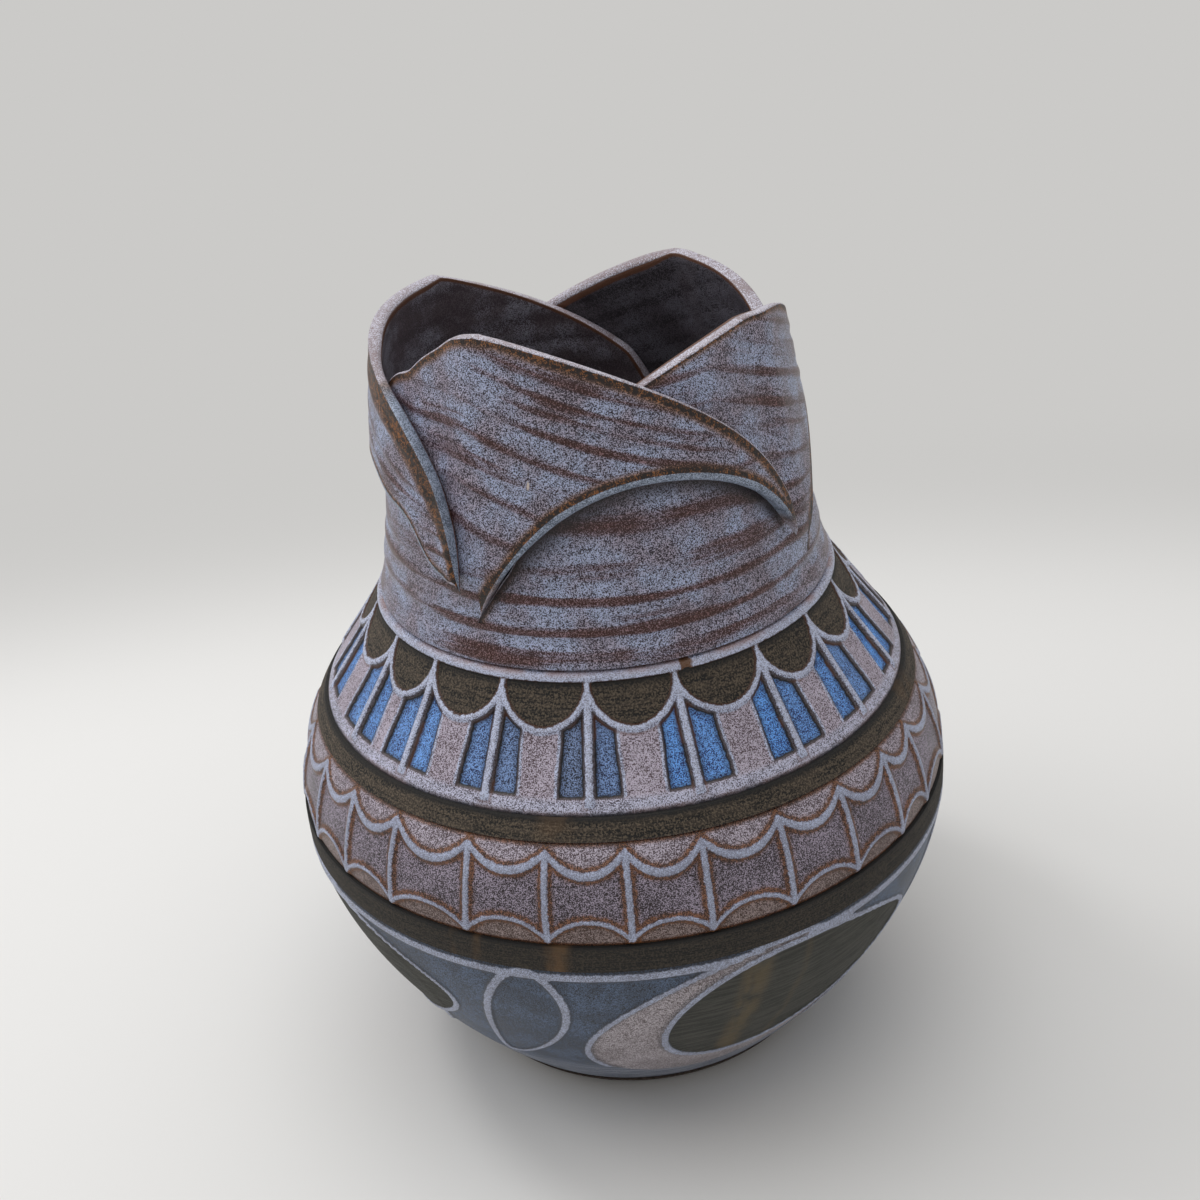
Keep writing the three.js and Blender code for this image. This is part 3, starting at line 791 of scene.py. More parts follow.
def make_petal(k):
    angles = petal_columns(k)
    petal = PETALS[k]
    low, top = low_height(k, angles), top_height(k, angles)
    blunt = 3.0
    top = np.maximum(top, low + np.where(angles > petal["slit"], blunt, 0))
    mid_r = neck_surface(angles, (low + top) / 2) + stand_off(k, angles, (low + top) / 2)
    top_steep, low_steep = edge_steepness(angles, top, mid_r), edge_steepness(angles, low, mid_r)
    lips = np.clip((angles - petal["slit"]) / 22.0, 0, 1) ** 0.9
    lips = lips * (1 - 0.45 * smooth((angles - petal["tip"] + 14) / 12))
    thinned = 1 - 0.3 * np.exp(-(((angles - petal["tip"] + 33.5) / 10) ** 2))
    bevels = 0.5 + petal.get("bevel", 2.1) * smooth((angles - petal["peak"] + 4) / 14)
    count = len(angles)
    start_clean()
    bpy.ops.mesh.primitive_grid_add(x_subdivisions=count - 1, y_subdivisions=SECTION, size=2)
    piece = bpy.context.object
    piece.name = piece.data.name = "petal_" + petal["name"] + "_clay"
    flat = places(piece) * MM
    column = np.rint((flat[:, 0] + 1) / 2 * (count - 1)).astype(int)
    row = np.rint((flat[:, 1] + 1) / 2 * SECTION).astype(int) % SECTION
    sections = [
        petal_section(low[i], top[i], lips[i], top_steep[i], low_steep[i], bevels[i])
        for i in range(count)
    ]
    depth = np.array([a for a, _ in sections])[column, row] * thinned[column]
    z = np.array([b for _, b in sections])[column, row]
    angle = angles[column]
    end = np.clip((angle - (petal["tip"] - 2.6)) / 2.6, 0, 1)
    pinch = np.sqrt(np.maximum(1 - end**2, 0.0004))
    centre_z = ((low + top) / 2)[column]
    z = centre_z + (z - centre_z) * pinch
    depth = PETAL_WALL / 2 + (depth - PETAL_WALL / 2) * pinch
    free = angle > petal["slit"] + 1.0
    lip_line = (np.minimum(LIP_TALL * low_steep, 0.3 * (top - low)) * lips)[column]
    to_top = (top[column] - z) / top_steep[column]
    to_low = np.where(free, (z - low[column] - lip_line) / low_steep[column], 9.0)
    level = level_of(angle, z, petal["droop"])
    calm = smooth(np.minimum(to_top, to_low) / 5.0)
    back = (depth > 2.0) * smooth((angle - petal["slit"] + STEP_TURN) / STEP_TURN)
    r = neck_surface(angle, z) + stand_off(k, angle, z) - depth
    r = r + ring_height(angle, level) * calm * (1 - back)
    put(piece, from_round(angle, r, z))
    face = (row <= OUT)
    inner = (row > OUT + CORNER + FLAT + BEVEL) & (row < SECTION - LIP - FLAT)
    bevel = np.minimum(bevels * top_steep, 0.36 * (top - low))[column]
    cut = np.where(face, np.minimum(to_top, to_low), -1.0)
    cut = np.where(inner, (top[column] - bevel - z) / top_steep[column], cut)
    near_bevel = (row >= OUT + CORNER) & (row <= OUT + CORNER + FLAT + BEVEL)
    cut = np.where(near_bevel, -np.minimum(depth, PETAL_WALL - depth) - 0.02, cut)
    before, after = petal["rim_iron"]
    past = smooth((angle - petal["peak"] - 4) / (35 if after > 3 else 16))
    rim_width = before + (after - before) * past
    arch_width = petal["arch_iron"] * (0.55 + 0.45 * smooth((angle - petal["slit"]) / 20))
    arch_width = arch_width + 1.2 * smooth((petal["slit"] + 8 - angle) / 5) * (angle > petal["slit"])
    burn = np.minimum(burnt(to_top, rim_width), burnt(to_low, arch_width))
    burn = np.where(face, burn, np.where(inner, cut / 0.8, 9.0))
    blued = smooth((angle - petal.get("pale_until", 999.0)) / 10)
    brow_rows = np.where(petal["name"] == "right", 7, np.where(blued > 0.5, 5, 3))
    brow = (row > OUT + CORNER + FLAT + BEVEL - brow_rows) & (row <= OUT + CORNER + FLAT + BEVEL)
    burn = np.where(brow, 0.0, burn)
    lip = (((row < 12) | (row >= SECTION - LIP - FLAT)) & free).astype(float)
    lip = lip * smooth((angle - petal["slit"] - 4) / 5) * smooth((petal["tip"] - angle - 1) / 3)
    lip = np.where((row > OUT) & (row < SECTION - LIP - FLAT - 4), blued, lip)
    marks = {
        "ring": streak_mark(angle, level, z),
        "level": level,
        "cut": np.clip(cut, -3, 9),
        "inside": (inner | brow).astype(float),
        "burn": burn,
        "shade": np.where(face, crevice(k, angle, z), 0.0),
        "lining": np.full(len(z), petal.get("lining", 0.2)),
        "pit": np.hypot(np.radians(angle - PALE_SPOT_AT[0]) * 48 / 0.35, (z - PALE_SPOT_AT[1]) / 0.9) - 1,
        "lip": lip,
    }
    for name, values in marks.items():
        mark(piece, name, values)
    close_petal(piece)
    finish_piece(piece, "petal_glaze", "petal_" + petal["name"], sharp=50)
    return piece


def close_petal(piece):
    start_clean()
    bpy.context.view_layer.objects.active = piece
    piece.select_set(True)
    bpy.ops.object.mode_set(mode="EDIT")
    bpy.ops.mesh.select_all(action="SELECT")
    bpy.ops.mesh.remove_doubles(threshold=1e-6)
    bpy.ops.mesh.select_all(action="DESELECT")
    bpy.ops.mesh.select_mode(type="EDGE")
    bpy.ops.mesh.select_non_manifold()
    bpy.ops.mesh.edge_face_add()
    bpy.ops.mesh.select_all(action="SELECT")
    bpy.ops.mesh.normals_make_consistent(inside=False)
    bpy.ops.mesh.select_mode(type="VERT")
    bpy.ops.object.mode_set(mode="OBJECT")


petals = [make_petal(k) for k in range(len(PETALS))]

# %% [markdown]
# ## Glaze and slip
# The colours are written as they look, from 0 to 255. Small helpers add nodes, and what several
# materials share is kept in node groups: the fine speckle of the glaze, the broken brown streaks
# on the throwing rings, and the brush strokes in the slip. Each material reads its own marks.

# %% Shader helpers

def paint(red, green, blue):
    """A colour as it looks, turned into the linear values that shaders use."""
    shares = [value / 255 for value in (red, green, blue)]
    linear = [((s + 0.055) / 1.055) ** 2.4 if s > 0.04 else s / 12.92 for s in shares]
    return (*linear, 1.0)


def plug(tree, socket, value):
    if isinstance(value, bpy.types.NodeSocket):
        tree.links.new(value, socket)
    else:
        socket.default_value = value


def add(tree, kind, sockets=None, **settings):
    made = tree.nodes.new(kind)
    for name, value in settings.items():
        setattr(made, name, value)
    for name, value in (sockets or {}).items():
        plug(tree, made.inputs[name], value)
    return made


def calc(tree, operation, first, second=0.0):
    made = add(tree, "ShaderNodeMath", operation=operation)
    plug(tree, made.inputs[0], first)
    plug(tree, made.inputs[1], second)
    return made.outputs[0]


def blend(tree, amount, first, second):
    made = add(tree, "ShaderNodeMix", data_type="RGBA")
    for number, value in ((0, amount), (6, first), (7, second)):
        plug(tree, made.inputs[number], value)
    return made.outputs[2]


def step(tree, value, low, high):
    """0 below low, 1 above high, smooth between; turned round where low is the larger."""
    sockets = {"Value": value, "From Min": low, "From Max": high}
    made = add(tree, "ShaderNodeMapRange", sockets, interpolation_type="SMOOTHSTEP")
    return made.outputs["Result"]


def noise(tree, vector, scale, detail=2.0, roughness=0.5):
    sockets = {"Vector": vector, "Scale": scale, "Detail": detail, "Roughness": roughness}
    return add(tree, "ShaderNodeTexNoise", sockets).outputs["Fac"]


def stretched(tree, vector, across, up):
    """The same place, scaled apart along the level directions and along the height."""
    made = add(tree, "ShaderNodeVectorMath", {0: vector}, operation="MULTIPLY")
    made.inputs[1].default_value = (across, across, up)
    return made.outputs[0]


def read_mark(tree, name):
    return add(tree, "ShaderNodeAttribute", attribute_name=name).outputs["Fac"]


# %% Shared node groups
def new_group(name, takes, gives):
    group = bpy.data.node_groups.new(name, "ShaderNodeTree")
    for socket, kind in takes:
        group.interface.new_socket(socket, in_out="INPUT", socket_type=kind)
    for socket in gives:
        group.interface.new_socket(socket, in_out="OUTPUT", socket_type="NodeSocketFloat")
    return group, group.nodes.new("NodeGroupInput").outputs, group.nodes.new("NodeGroupOutput").inputs


def weighed(tree, first, *rest):
    """first plus each other value times its weight, taken round its middle, one half."""
    total = first
    for value, weight in rest:
        off = calc(tree, "SUBTRACT", value, 0.5)
        total = calc(tree, "ADD", total, calc(tree, "MULTIPLY", off, weight))
    return total


def make_speckle_group():
    takes = [("Vector", "NodeSocketVector"), ("Shift", "NodeSocketFloat")]
    group, given, result = new_group("glaze speckle", takes, ["Speck", "Patch", "Wobble"])
    fine = noise(group, given["Vector"], 3700.0, 2.0, 0.6)
    middle = noise(group, given["Vector"], 1100.0, 2.0, 0.6)
    patch = noise(group, given["Vector"], 110.0, 2.0, 0.55)
    raised = calc(group, "ADD", fine, given["Shift"])
    raised = weighed(group, raised, (middle, 0.22), (patch, 0.16))
    plug(group, result["Speck"], step(group, raised, 0.42, 0.58))
    plug(group, result["Patch"], step(group, patch, 0.35, 0.65))
    wobble = noise(group, given["Vector"], 900.0, 2.0, 0.6)
    plug(group, result["Wobble"], calc(group, "SUBTRACT", wobble, 0.5))
    return group


def make_streak_group():
    takes = [("Vector", "NodeSocketVector"), ("Ring", "NodeSocketFloat")]
    group, given, result = new_group("throwing streaks", takes, ["Streak"])
    threads = noise(group, stretched(group, given["Vector"], 28.0, 480.0), 1.0, 4.0, 0.65)
    gaps = noise(group, stretched(group, given["Vector"], 44.0, 80.0), 1.0, 2.0, 0.5)
    ring = calc(group, "MULTIPLY", given["Ring"], 0.6)
    raised = weighed(group, ring, (threads, 1.3), (gaps, 1.3))
    plug(group, result["Streak"], step(group, raised, -0.08, 0.54))
    return group


def make_brush_group():
    takes = [("Vector", "NodeSocketVector"), ("Stained", "NodeSocketFloat")]
    group, given, result = new_group("brushed slip", takes, ["Stroke", "Grain", "Stain"])
    strokes = noise(group, stretched(group, given["Vector"], 90.0, 1500.0), 1.0, 3.0, 0.7)
    plug(group, result["Stroke"], step(group, strokes, 0.43, 0.58))
    grain = noise(group, given["Vector"], 2300.0, 2.0, 0.6)
    plug(group, result["Grain"], step(group, grain, 0.46, 0.6))
    runs = noise(group, stretched(group, given["Vector"], 200.0, 90.0), 1.0, 2.0, 0.6)
    stain = calc(group, "MULTIPLY", given["Stained"], step(group, runs, 0.3, 0.6))
    plug(group, result["Stain"], stain)
    return group


speckle_group, streak_group, brush_group = make_speckle_group(), make_streak_group(), make_brush_group()


def use(tree, group, sockets):
    made = add(tree, "ShaderNodeGroup", node_tree=group)
    for name, value in sockets.items():
        plug(tree, made.inputs[name], value)
    return made.outputs


# %% [markdown]
# ## The materials
# Every glaze is two colours seen through the speckle, a pale one that floats and a dark one under
# it. Where the glaze is thin, on edges and beside raised lines, the iron in the clay shows brown.

# %% Start and end of a material
def new_material(name):
    material = bpy.data.materials.new(name)
    material.use_nodes = True
    tree = material.node_tree
    tree.nodes.clear()
    place = add(tree, "ShaderNodeTexCoord").outputs["Object"]
    return material, tree, place


def finish_material(tree, colour, roughness, bump_height, bump_depth=0.0001):
    bump_sockets = {"Height": bump_height, "Distance": bump_depth, "Strength": 0.7}
    bump = add(tree, "ShaderNodeBump", bump_sockets)
    sockets = {"Base Color": colour, "Roughness": roughness, "Normal": bump.outputs["Normal"]}
    surface = add(tree, "ShaderNodeBsdfPrincipled", sockets)
    output = add(tree, "ShaderNodeOutputMaterial")
    tree.links.new(surface.outputs["BSDF"], output.inputs["Surface"])


def dress(material, *pieces):
    for piece in pieces:
        piece.data.materials.clear()
        piece.data.materials.append(material)


def glaze(tree, speck, under, over):
    """The speckled look of a glaze: one colour under, one floating over it."""
    return blend(tree, speck, paint(*under), paint(*over))


def spread(tree, distance, wobble, amount):
    """A distance mark with a hand's unevenness added, in millimetres."""
    return calc(tree, "ADD", distance, calc(tree, "MULTIPLY", wobble, amount))


IRON_UNDER, IRON_OVER = (46, 22, 10), (136, 84, 42)
# The glaze inside the pot: a darker inside glaze, painted darker still as shade.
INSIDE_GLAZE_AND_SHADE = (48, 44, 49)


# %% The neck's glaze
def make_petal_glaze():
    material, tree, place = new_material("petal glaze")
    names = ("ring", "level", "cut", "burn", "shade", "lip", "inside")
    ring, level, cut, burn, shade, lip, inside = (read_mark(tree, name) for name in names)
    lining, pit = read_mark(tree, "lining"), read_mark(tree, "pit")
    split = add(tree, "ShaderNodeSeparateXYZ", {"Vector": place}).outputs
    thrown = {"X": split["X"], "Y": split["Y"], "Z": calc(tree, "MULTIPLY", level, MM)}
    thrown = add(tree, "ShaderNodeCombineXYZ", thrown).outputs["Vector"]
    streak = use(tree, streak_group, {"Vector": thrown, "Ring": ring})["Streak"]
    shift = calc(tree, "MULTIPLY", streak, -0.085)
    speckle = use(tree, speckle_group, {"Vector": place, "Shift": shift})
    speck, wobble = speckle["Speck"], speckle["Wobble"]
    scorch = spread(tree, burn, wobble, 0.5)
    deep = blend(tree, streak, paint(34, 22, 36), paint(52, 14, 6))
    deep = blend(tree, step(tree, scorch, 2.1, 1.1), deep, paint(50, 24, 12))
    pale = blend(tree, speckle["Patch"], paint(184, 174, 192), paint(184, 194, 224))
    pale = blend(tree, calc(tree, "MULTIPLY", streak, 0.75), pale, paint(142, 80, 58))
    thin = calc(tree, "MULTIPLY", step(tree, scorch, 1.8, 0.9), 0.8)
    pale = blend(tree, thin, pale, paint(150, 108, 76))
    colour = blend(tree, speck, deep, pale)
    glint = calc(tree, "MULTIPLY", step(tree, speck, 0.3, 1.0), step(tree, wobble, -0.07, 0.07))
    golden = glaze(tree, glint, (44, 19, 9), (170, 118, 70))
    iron = glaze(tree, glint, (25, 10, 5), (146, 92, 46))
    iron = blend(tree, step(tree, burn, 0.6, 1.0), iron, golden)
    colour = blend(tree, step(tree, scorch, 1.15, 0.7), colour, iron)
    shaded = glaze(tree, speck, (16, 10, 11), (54, 38, 40))
    colour = blend(tree, calc(tree, "MULTIPLY", shade, 0.95), colour, shaded)
    # A small pale spot on the front petal.
    colour = blend(tree, step(tree, spread(tree, pit, wobble, 1.0), 0.3, -0.2), colour, paint(214, 200, 190))
    face = step(tree, cut, 0.05, -0.3)
    top_colour = glaze(tree, speck, (136, 120, 124), (208, 206, 220))
    lip_colour = glaze(tree, speck, (92, 102, 118), (176, 188, 210))
    lip_colour = blend(tree, lip, glaze(tree, speck, (70, 44, 28), (150, 112, 80)), lip_colour)
    colour = blend(tree, face, colour, blend(tree, step(tree, lip, 0.0, 0.3), top_colour, lip_colour))
    # Where the mark for a paler inside is high, as on the left petal, the inside is painted paler and mottled.
    mottled = blend(tree, speckle["Patch"], paint(112, 100, 106), paint(160, 158, 172))
    mottled = blend(tree, speck, paint(80, 70, 76), mottled)
    # Inside the neck: a darker inside glaze, painted darker still as shade.
    within = glaze(tree, speck, (34, 31, 36), (74, 70, 80))
    within = blend(tree, lining, within, mottled)
    within = blend(tree, step(tree, scorch, 1.1, 0.5), within, paint(96, 58, 38))
    colour = blend(tree, inside, colour, within)
    roughness = calc(tree, "ADD", 0.28, calc(tree, "MULTIPLY", speck, 0.14))
    roughness = calc(tree, "ADD", roughness, calc(tree, "MULTIPLY", step(tree, scorch, 1.6, 0.8), 0.1))
    finish_material(tree, colour, roughness, speck)
    return material


# %% The shoulder's glaze
def make_blue_glaze():
    material, tree, place = new_material("blue glaze")
    names = ("line", "pane", "border", "slip", "tone", "nick", "edge", "inside")
    line, pane, border, slip, tone, nick, edge, inside = (read_mark(tree, name) for name in names)
    speckle = use(tree, speckle_group, {"Vector": place, "Shift": 0.02})
    speck, wobble = speckle["Speck"], speckle["Wobble"]
    colour = glaze(tree, speck, (74, 54, 60), (194, 184, 200))
    # Painted highlight: the crest of each raised line is painted paler.
    crest_highlight = step(tree, line, -0.1, -0.7)
    ridge = glaze(tree, speck, (104, 100, 118), (198, 206, 232))
    ridge = blend(tree, calc(tree, "MULTIPLY", crest_highlight, 0.35), ridge, paint(204, 210, 232))
    rim = glaze(tree, speck, (80, 74, 86), (204, 204, 226))
    colour = blend(tree, step(tree, spread(tree, edge, wobble, 0.8), 5.0, 3.2), colour, rim)
    colour = blend(tree, step(tree, spread(tree, line, wobble, 0.8), 0.5, 0.0), colour, ridge)
    colour = blend(tree, step(tree, spread(tree, border, wobble, 0.8), 0.3, -0.1), colour, ridge)
    rust = calc(tree, "MULTIPLY", step(tree, edge, 2.2, 0.4), speckle["Patch"])
    colour = blend(tree, calc(tree, "MULTIPLY", rust, 0.7), colour, paint(140, 92, 62))
    height = add(tree, "ShaderNodeSeparateXYZ", {"Vector": place}).outputs["Z"]
    # Painted shade: a near black-blue band along the shoulder's lower edge, where it rounds under.
    low_edge_shade = step(tree, spread(tree, edge, wobble, 1.2), 1.9, 0.5)
    low_edge_shade = calc(tree, "MULTIPLY", low_edge_shade, step(tree, height, 0.115, 0.11))
    colour = blend(tree, calc(tree, "MULTIPLY", low_edge_shade, 0.95), colour, paint(16, 17, 28))
    within = spread(tree, pane, wobble, 0.6)
    flecks = step(tree, speck, 0.1, 1.0)
    bluer = glaze(tree, flecks, (0, 26, 104), (112, 178, 255))
    greyer = glaze(tree, flecks, (14, 22, 40), (130, 152, 194))
    glass = blend(tree, tone, bluer, greyer)
    deeper = calc(tree, "MULTIPLY", step(tree, within, -1.7, -0.5), 0.45)
    glass = blend(tree, deeper, glass, glaze(tree, speck, (16, 18, 30), (52, 66, 100)))
    glass = blend(tree, step(tree, within, -0.6, -0.25), glass, paint(16, 12, 12))
    colour = blend(tree, step(tree, within, 0.1, -0.15), colour, glass)
    outline = calc(tree, "MULTIPLY", step(tree, within, -0.2, 0.02), step(tree, within, 0.5, 0.22))
    colour = blend(tree, calc(tree, "MULTIPLY", outline, 0.85), colour, paint(50, 32, 24))
    broken = calc(tree, "MULTIPLY", step(tree, line, 1.1, 0.5), step(tree, line, 0.0, 0.4))
    broken = calc(tree, "MULTIPLY", broken, step(tree, speckle["Patch"], 0.3, 0.8))
    colour = blend(tree, calc(tree, "MULTIPLY", broken, 0.5), colour, paint(100, 58, 34))
    colour = blend(tree, step(tree, spread(tree, slip, wobble, 1.0), 0.65, 0.25), colour, paint(64, 36, 20))
    colour = blend(tree, step(tree, spread(tree, nick, wobble, 1.0), 0.5, 0.0), colour, paint(104, 72, 50))
    # Inside faces take the inside glaze, painted darker as shade.
    colour = blend(tree, inside, colour, paint(*INSIDE_GLAZE_AND_SHADE))
    raised = step(tree, line, 0.5, 0.0)
    roughness = calc(tree, "ADD", 0.34, calc(tree, "MULTIPLY", speck, 0.12))
    roughness = calc(tree, "SUBTRACT", roughness, calc(tree, "MULTIPLY", raised, 0.1))
    finish_material(tree, colour, roughness, speck)
    return material


# %% The belly's glaze
def make_mauve_glaze():
    material, tree, place = new_material("mauve glaze")
    names = ("line", "over", "under", "edge", "inside")
    line, over, under, edge, inside = (read_mark(tree, name) for name in names)
    speckle = use(tree, speckle_group, {"Vector": place, "Shift": -0.02})
    speck, wobble = speckle["Speck"], speckle["Wobble"]
    colour = glaze(tree, speck, (36, 22, 28), (174, 162, 180))
    colour = blend(tree, over, colour, glaze(tree, speck, (78, 62, 68), (204, 194, 208)))
    colour = blend(tree, under, colour, glaze(tree, speck, (70, 48, 40), (162, 144, 142)))
    reach = spread(tree, line, wobble, 1.5)
    iron = glaze(tree, speck, IRON_UNDER, IRON_OVER)
    colour = blend(tree, calc(tree, "MULTIPLY", step(tree, reach, 1.7, 0.5), 0.4), colour, iron)
    colour = blend(tree, calc(tree, "MULTIPLY", step(tree, reach, 0.95, 0.5), 0.85), colour, iron)
    rust = calc(tree, "MULTIPLY", step(tree, spread(tree, edge, wobble, 1.0), 1.4, 0.3), 0.9)
    colour = blend(tree, rust, colour, iron)
    # Painted highlight: the crest of each raised line is painted paler.
    crest_highlight = step(tree, line, -0.1, -0.6)
    ridge = glaze(tree, speck, (98, 94, 110), (184, 192, 218))
    ridge = blend(tree, calc(tree, "MULTIPLY", crest_highlight, 0.35), ridge, paint(186, 194, 218))
    colour = blend(tree, step(tree, spread(tree, line, wobble, 0.8), 0.02, -0.35), colour, ridge)
    # Inside faces take the inside glaze, painted darker as shade.
    colour = blend(tree, inside, colour, paint(*INSIDE_GLAZE_AND_SHADE))
    roughness = calc(tree, "ADD", 0.34, calc(tree, "MULTIPLY", speck, 0.12))
    finish_material(tree, colour, roughness, speck)
    return material


# %% The bowl's glaze
def make_slate_glaze():
    material, tree, place = new_material("slate glaze")
    names = ("line", "slip", "moon", "stain", "inside")
    line, slip, moon, stain, inside = (read_mark(tree, name) for name in names)
    speckle = use(tree, speckle_group, {"Vector": place, "Shift": 0.0})
    brush = use(tree, brush_group, {"Vector": place, "Stained": stain})
    speck, wobble = speckle["Speck"], speckle["Wobble"]
    height = add(tree, "ShaderNodeSeparateXYZ", {"Vector": place}).outputs["Z"]
    colour = glaze(tree, speck, (11, 17, 30), (90, 109, 138))
    dim = calc(tree, "MULTIPLY", step(tree, speckle["Patch"], 0.9, 0.1), 0.3)
    colour = blend(tree, dim, colour, paint(44, 50, 62))
    low_colour = glaze(tree, brush["Stroke"], (96, 104, 120), (146, 150, 164))
    colour = blend(tree, step(tree, height, 0.027, 0.014), colour, low_colour)
    crescent = step(tree, spread(tree, moon, wobble, 0.8), 0.2, -0.2)
    colour = blend(tree, crescent, colour, glaze(tree, speck, (88, 74, 74), (198, 190, 196)))
    ridge = glaze(tree, speck, (124, 126, 142), (184, 192, 216))
    halo = calc(tree, "MULTIPLY", step(tree, spread(tree, line, wobble, 0.8), 1.2, 0.1), 0.55)
    colour = blend(tree, halo, colour, paint(52, 50, 56))
    colour = blend(tree, step(tree, spread(tree, line, wobble, 0.8), 0.2, -0.2), colour, ridge)
    slip_colour = glaze(tree, brush["Stroke"], (50, 50, 45), (72, 71, 65))
    slip_colour = blend(tree, calc(tree, "MULTIPLY", brush["Stain"], 0.8), slip_colour, paint(110, 94, 66))
    bare = step(tree, spread(tree, slip, wobble, 0.8), 0.15, -0.1)
    colour = blend(tree, bare, colour, slip_colour)
    # Inside faces take the inside glaze, painted darker as shade.
    colour = blend(tree, inside, colour, paint(*INSIDE_GLAZE_AND_SHADE))
    roughness = calc(tree, "ADD", 0.36, calc(tree, "MULTIPLY", speck, 0.1))
    roughness = calc(tree, "ADD", roughness, calc(tree, "MULTIPLY", bare, 0.4))
    finish_material(tree, colour, roughness, speck)
    return material


# %% Slip and bare clay
def make_slip():
    material, tree, place = new_material("dark slip")
    brush = use(tree, brush_group, {"Vector": place, "Stained": read_mark(tree, "stain")})
    colour = glaze(tree, brush["Stroke"], (5, 3, 2), (54, 46, 38))
    colour = blend(tree, calc(tree, "MULTIPLY", brush["Grain"], 0.4), colour, paint(134, 118, 98))
    height = add(tree, "ShaderNodeSeparateXYZ", {"Vector": place}).outputs["Z"]
    # Painted shade: the lower band's slip is painted darker than the upper band's, as it gets less of the light
    # from above.
    lower_band_shade = calc(tree, "MULTIPLY", step(tree, height, 0.09, 0.08), 0.6)
    colour = blend(tree, lower_band_shade, colour, paint(28, 27, 25))
    shade = calc(tree, "MULTIPLY", read_mark(tree, "shade"), 0.9)
    colour = blend(tree, shade, colour, paint(8, 8, 9))
    colour = blend(tree, calc(tree, "MULTIPLY", brush["Stain"], 0.7), colour, paint(112, 84, 54))
    height = calc(tree, "ADD", brush["Stroke"], calc(tree, "MULTIPLY", brush["Grain"], 0.6))
    finish_material(tree, colour, 0.8, height, 0.00012)
    return material


def make_clay():
    material, tree, place = new_material("bare clay")
    brush = use(tree, brush_group, {"Vector": place, "Stained": 0.0})
    colour = glaze(tree, brush["Grain"], (62, 52, 46), (92, 80, 72))
    finish_material(tree, colour, 0.9, brush["Stroke"])
    return material


dress(make_petal_glaze(), collar, *petals)
dress(make_blue_glaze(), shoulder)
dress(make_mauve_glaze(), belly)
dress(make_slate_glaze(), bowl)
dress(make_slip(), slip_ring, lower_band, upper_band)
dress(make_clay(), foot)
print("materials:", [material.name for material in bpy.data.materials])

# %% [markdown]
# ## Floor, light and camera
# The pot stands on a wide pale floor. Round the pot the floor is plain paper, and far from it the
# floor and the world show one even tone, so that no edge is seen behind the pot from any side.
# The light is soft: an even pale world, a wide lamp above, and weaker lamps to the left. The camera
# looks down on the pot at the angle of the photograph, leaning a little.

# %% The floor
start_clean()
bpy.ops.mesh.primitive_plane_add(size=12, location=(0, 0, 0))
ground = bpy.context.object
ground.name = ground.data.name = "pale_floor"

BACKDROP = paint(203, 202, 200)


def seen_rays(tree):
    """1 for rays that see the surface straight, in a gloss or through glass."""
    rays = add(tree, "ShaderNodeLightPath").outputs
    seen = calc(tree, "MAXIMUM", rays["Is Camera Ray"], rays["Is Glossy Ray"])
    return calc(tree, "MAXIMUM", seen, rays["Is Transmission Ray"])


paper, tree, place = new_material("paper")
aside = add(tree, "ShaderNodeVectorMath", {0: place}, operation="MULTIPLY")
aside.inputs[1].default_value = (0.45, 1.0, 0.0)
away = add(tree, "ShaderNodeVectorMath", {0: aside.outputs[0]}, operation="LENGTH").outputs["Value"]
tone = blend(tree, step(tree, away, 0.15, 0.36), paint(228, 227, 225), BACKDROP)
surface = add(tree, "ShaderNodeBsdfPrincipled", {"Base Color": tone, "Roughness": 0.9})
surface.inputs["Specular IOR Level"].default_value = 0.1
even = add(tree, "ShaderNodeEmission", {"Color": BACKDROP, "Strength": 1.0})
faded = calc(tree, "MULTIPLY", step(tree, away, 0.2, 0.4), seen_rays(tree))
mixed = add(tree, "ShaderNodeMixShader", {0: faded, 1: surface.outputs[0], 2: even.outputs[0]})
output = add(tree, "ShaderNodeOutputMaterial")
tree.links.new(mixed.outputs[0], output.inputs["Surface"])
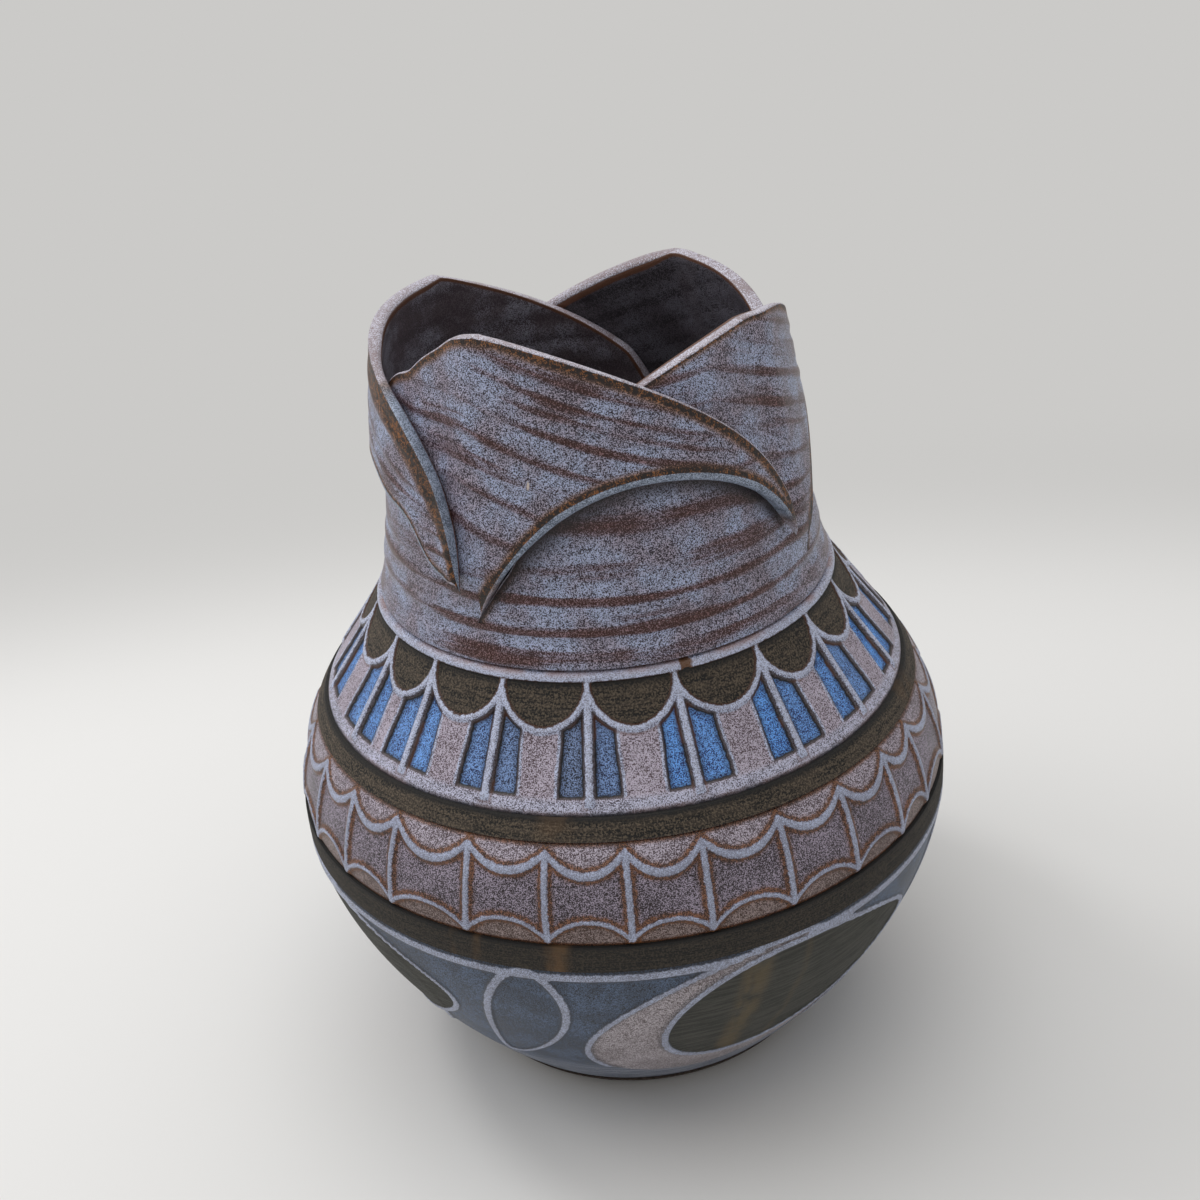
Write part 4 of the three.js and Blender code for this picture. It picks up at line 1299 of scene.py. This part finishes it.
dress(paper, ground)

# %% World and lamps
WORLD_LIGHT = 0.44
scene = bpy.context.scene
world = bpy.data.worlds.new("studio")
scene.world = world
world.use_nodes = True
background = world.node_tree.nodes["Background"]
sky = blend(world.node_tree, seen_rays(world.node_tree), (*[WORLD_LIGHT] * 3, 1.0), BACKDROP)
world.node_tree.links.new(sky, background.inputs["Color"])


def area_lamp(name, position, target, size, watts, colour=(1.0, 1.0, 1.0)):
    lamp = bpy.data.lights.new(name, "AREA")
    lamp.shape = "DISK"
    lamp.size = size
    lamp.energy = watts
    lamp.color = colour
    holder = bpy.data.objects.new(name, lamp)
    scene.collection.objects.link(holder)
    holder.location = position
    aim = Vector(target) - Vector(position)
    holder.rotation_euler = aim.to_track_quat("-Z", "Y").to_euler()
    return holder


area_lamp("ceiling", (-0.06, 0.08, 1.2), (0, 0, 0.05), 1.5, 8.1)
area_lamp("window", (-0.5, 0.25, 0.95), (0, 0, 0.05), 0.22, 1.6)
area_lamp("side", (-0.95, 0.12, 0.75), (0, 0, 0.08), 0.6, 2.1)

# %% Camera
YAW, PITCH, ROLL = -0.0056, 0.4860, -0.0960
forward = Vector((math.sin(YAW) * math.cos(PITCH), math.cos(YAW) * math.cos(PITCH), -math.sin(PITCH)))
level_right = Vector((math.cos(YAW), -math.sin(YAW), 0))
level_up = level_right.cross(forward)
right = math.cos(ROLL) * level_right + math.sin(ROLL) * level_up
up = -math.sin(ROLL) * level_right + math.cos(ROLL) * level_up
lens = bpy.data.cameras.new("camera")
lens.lens, lens.sensor_width = 47.503, 36.0
lens.dof.use_dof = False
camera = bpy.data.objects.new("camera", lens)
scene.collection.objects.link(camera)
matrix = Matrix((right, up, -forward)).transposed().to_4x4()
matrix.translation = (0.0, -0.3493, 0.30133)
camera.matrix_world = matrix
scene.camera = camera
scene.view_settings.view_transform = "Standard"

# %% [markdown]
# ## The last update
# The view layer is updated once more. The dressed pot must stay inside the box of the
# plain solids.

# %% Update the view layer
bpy.context.view_layer.update()
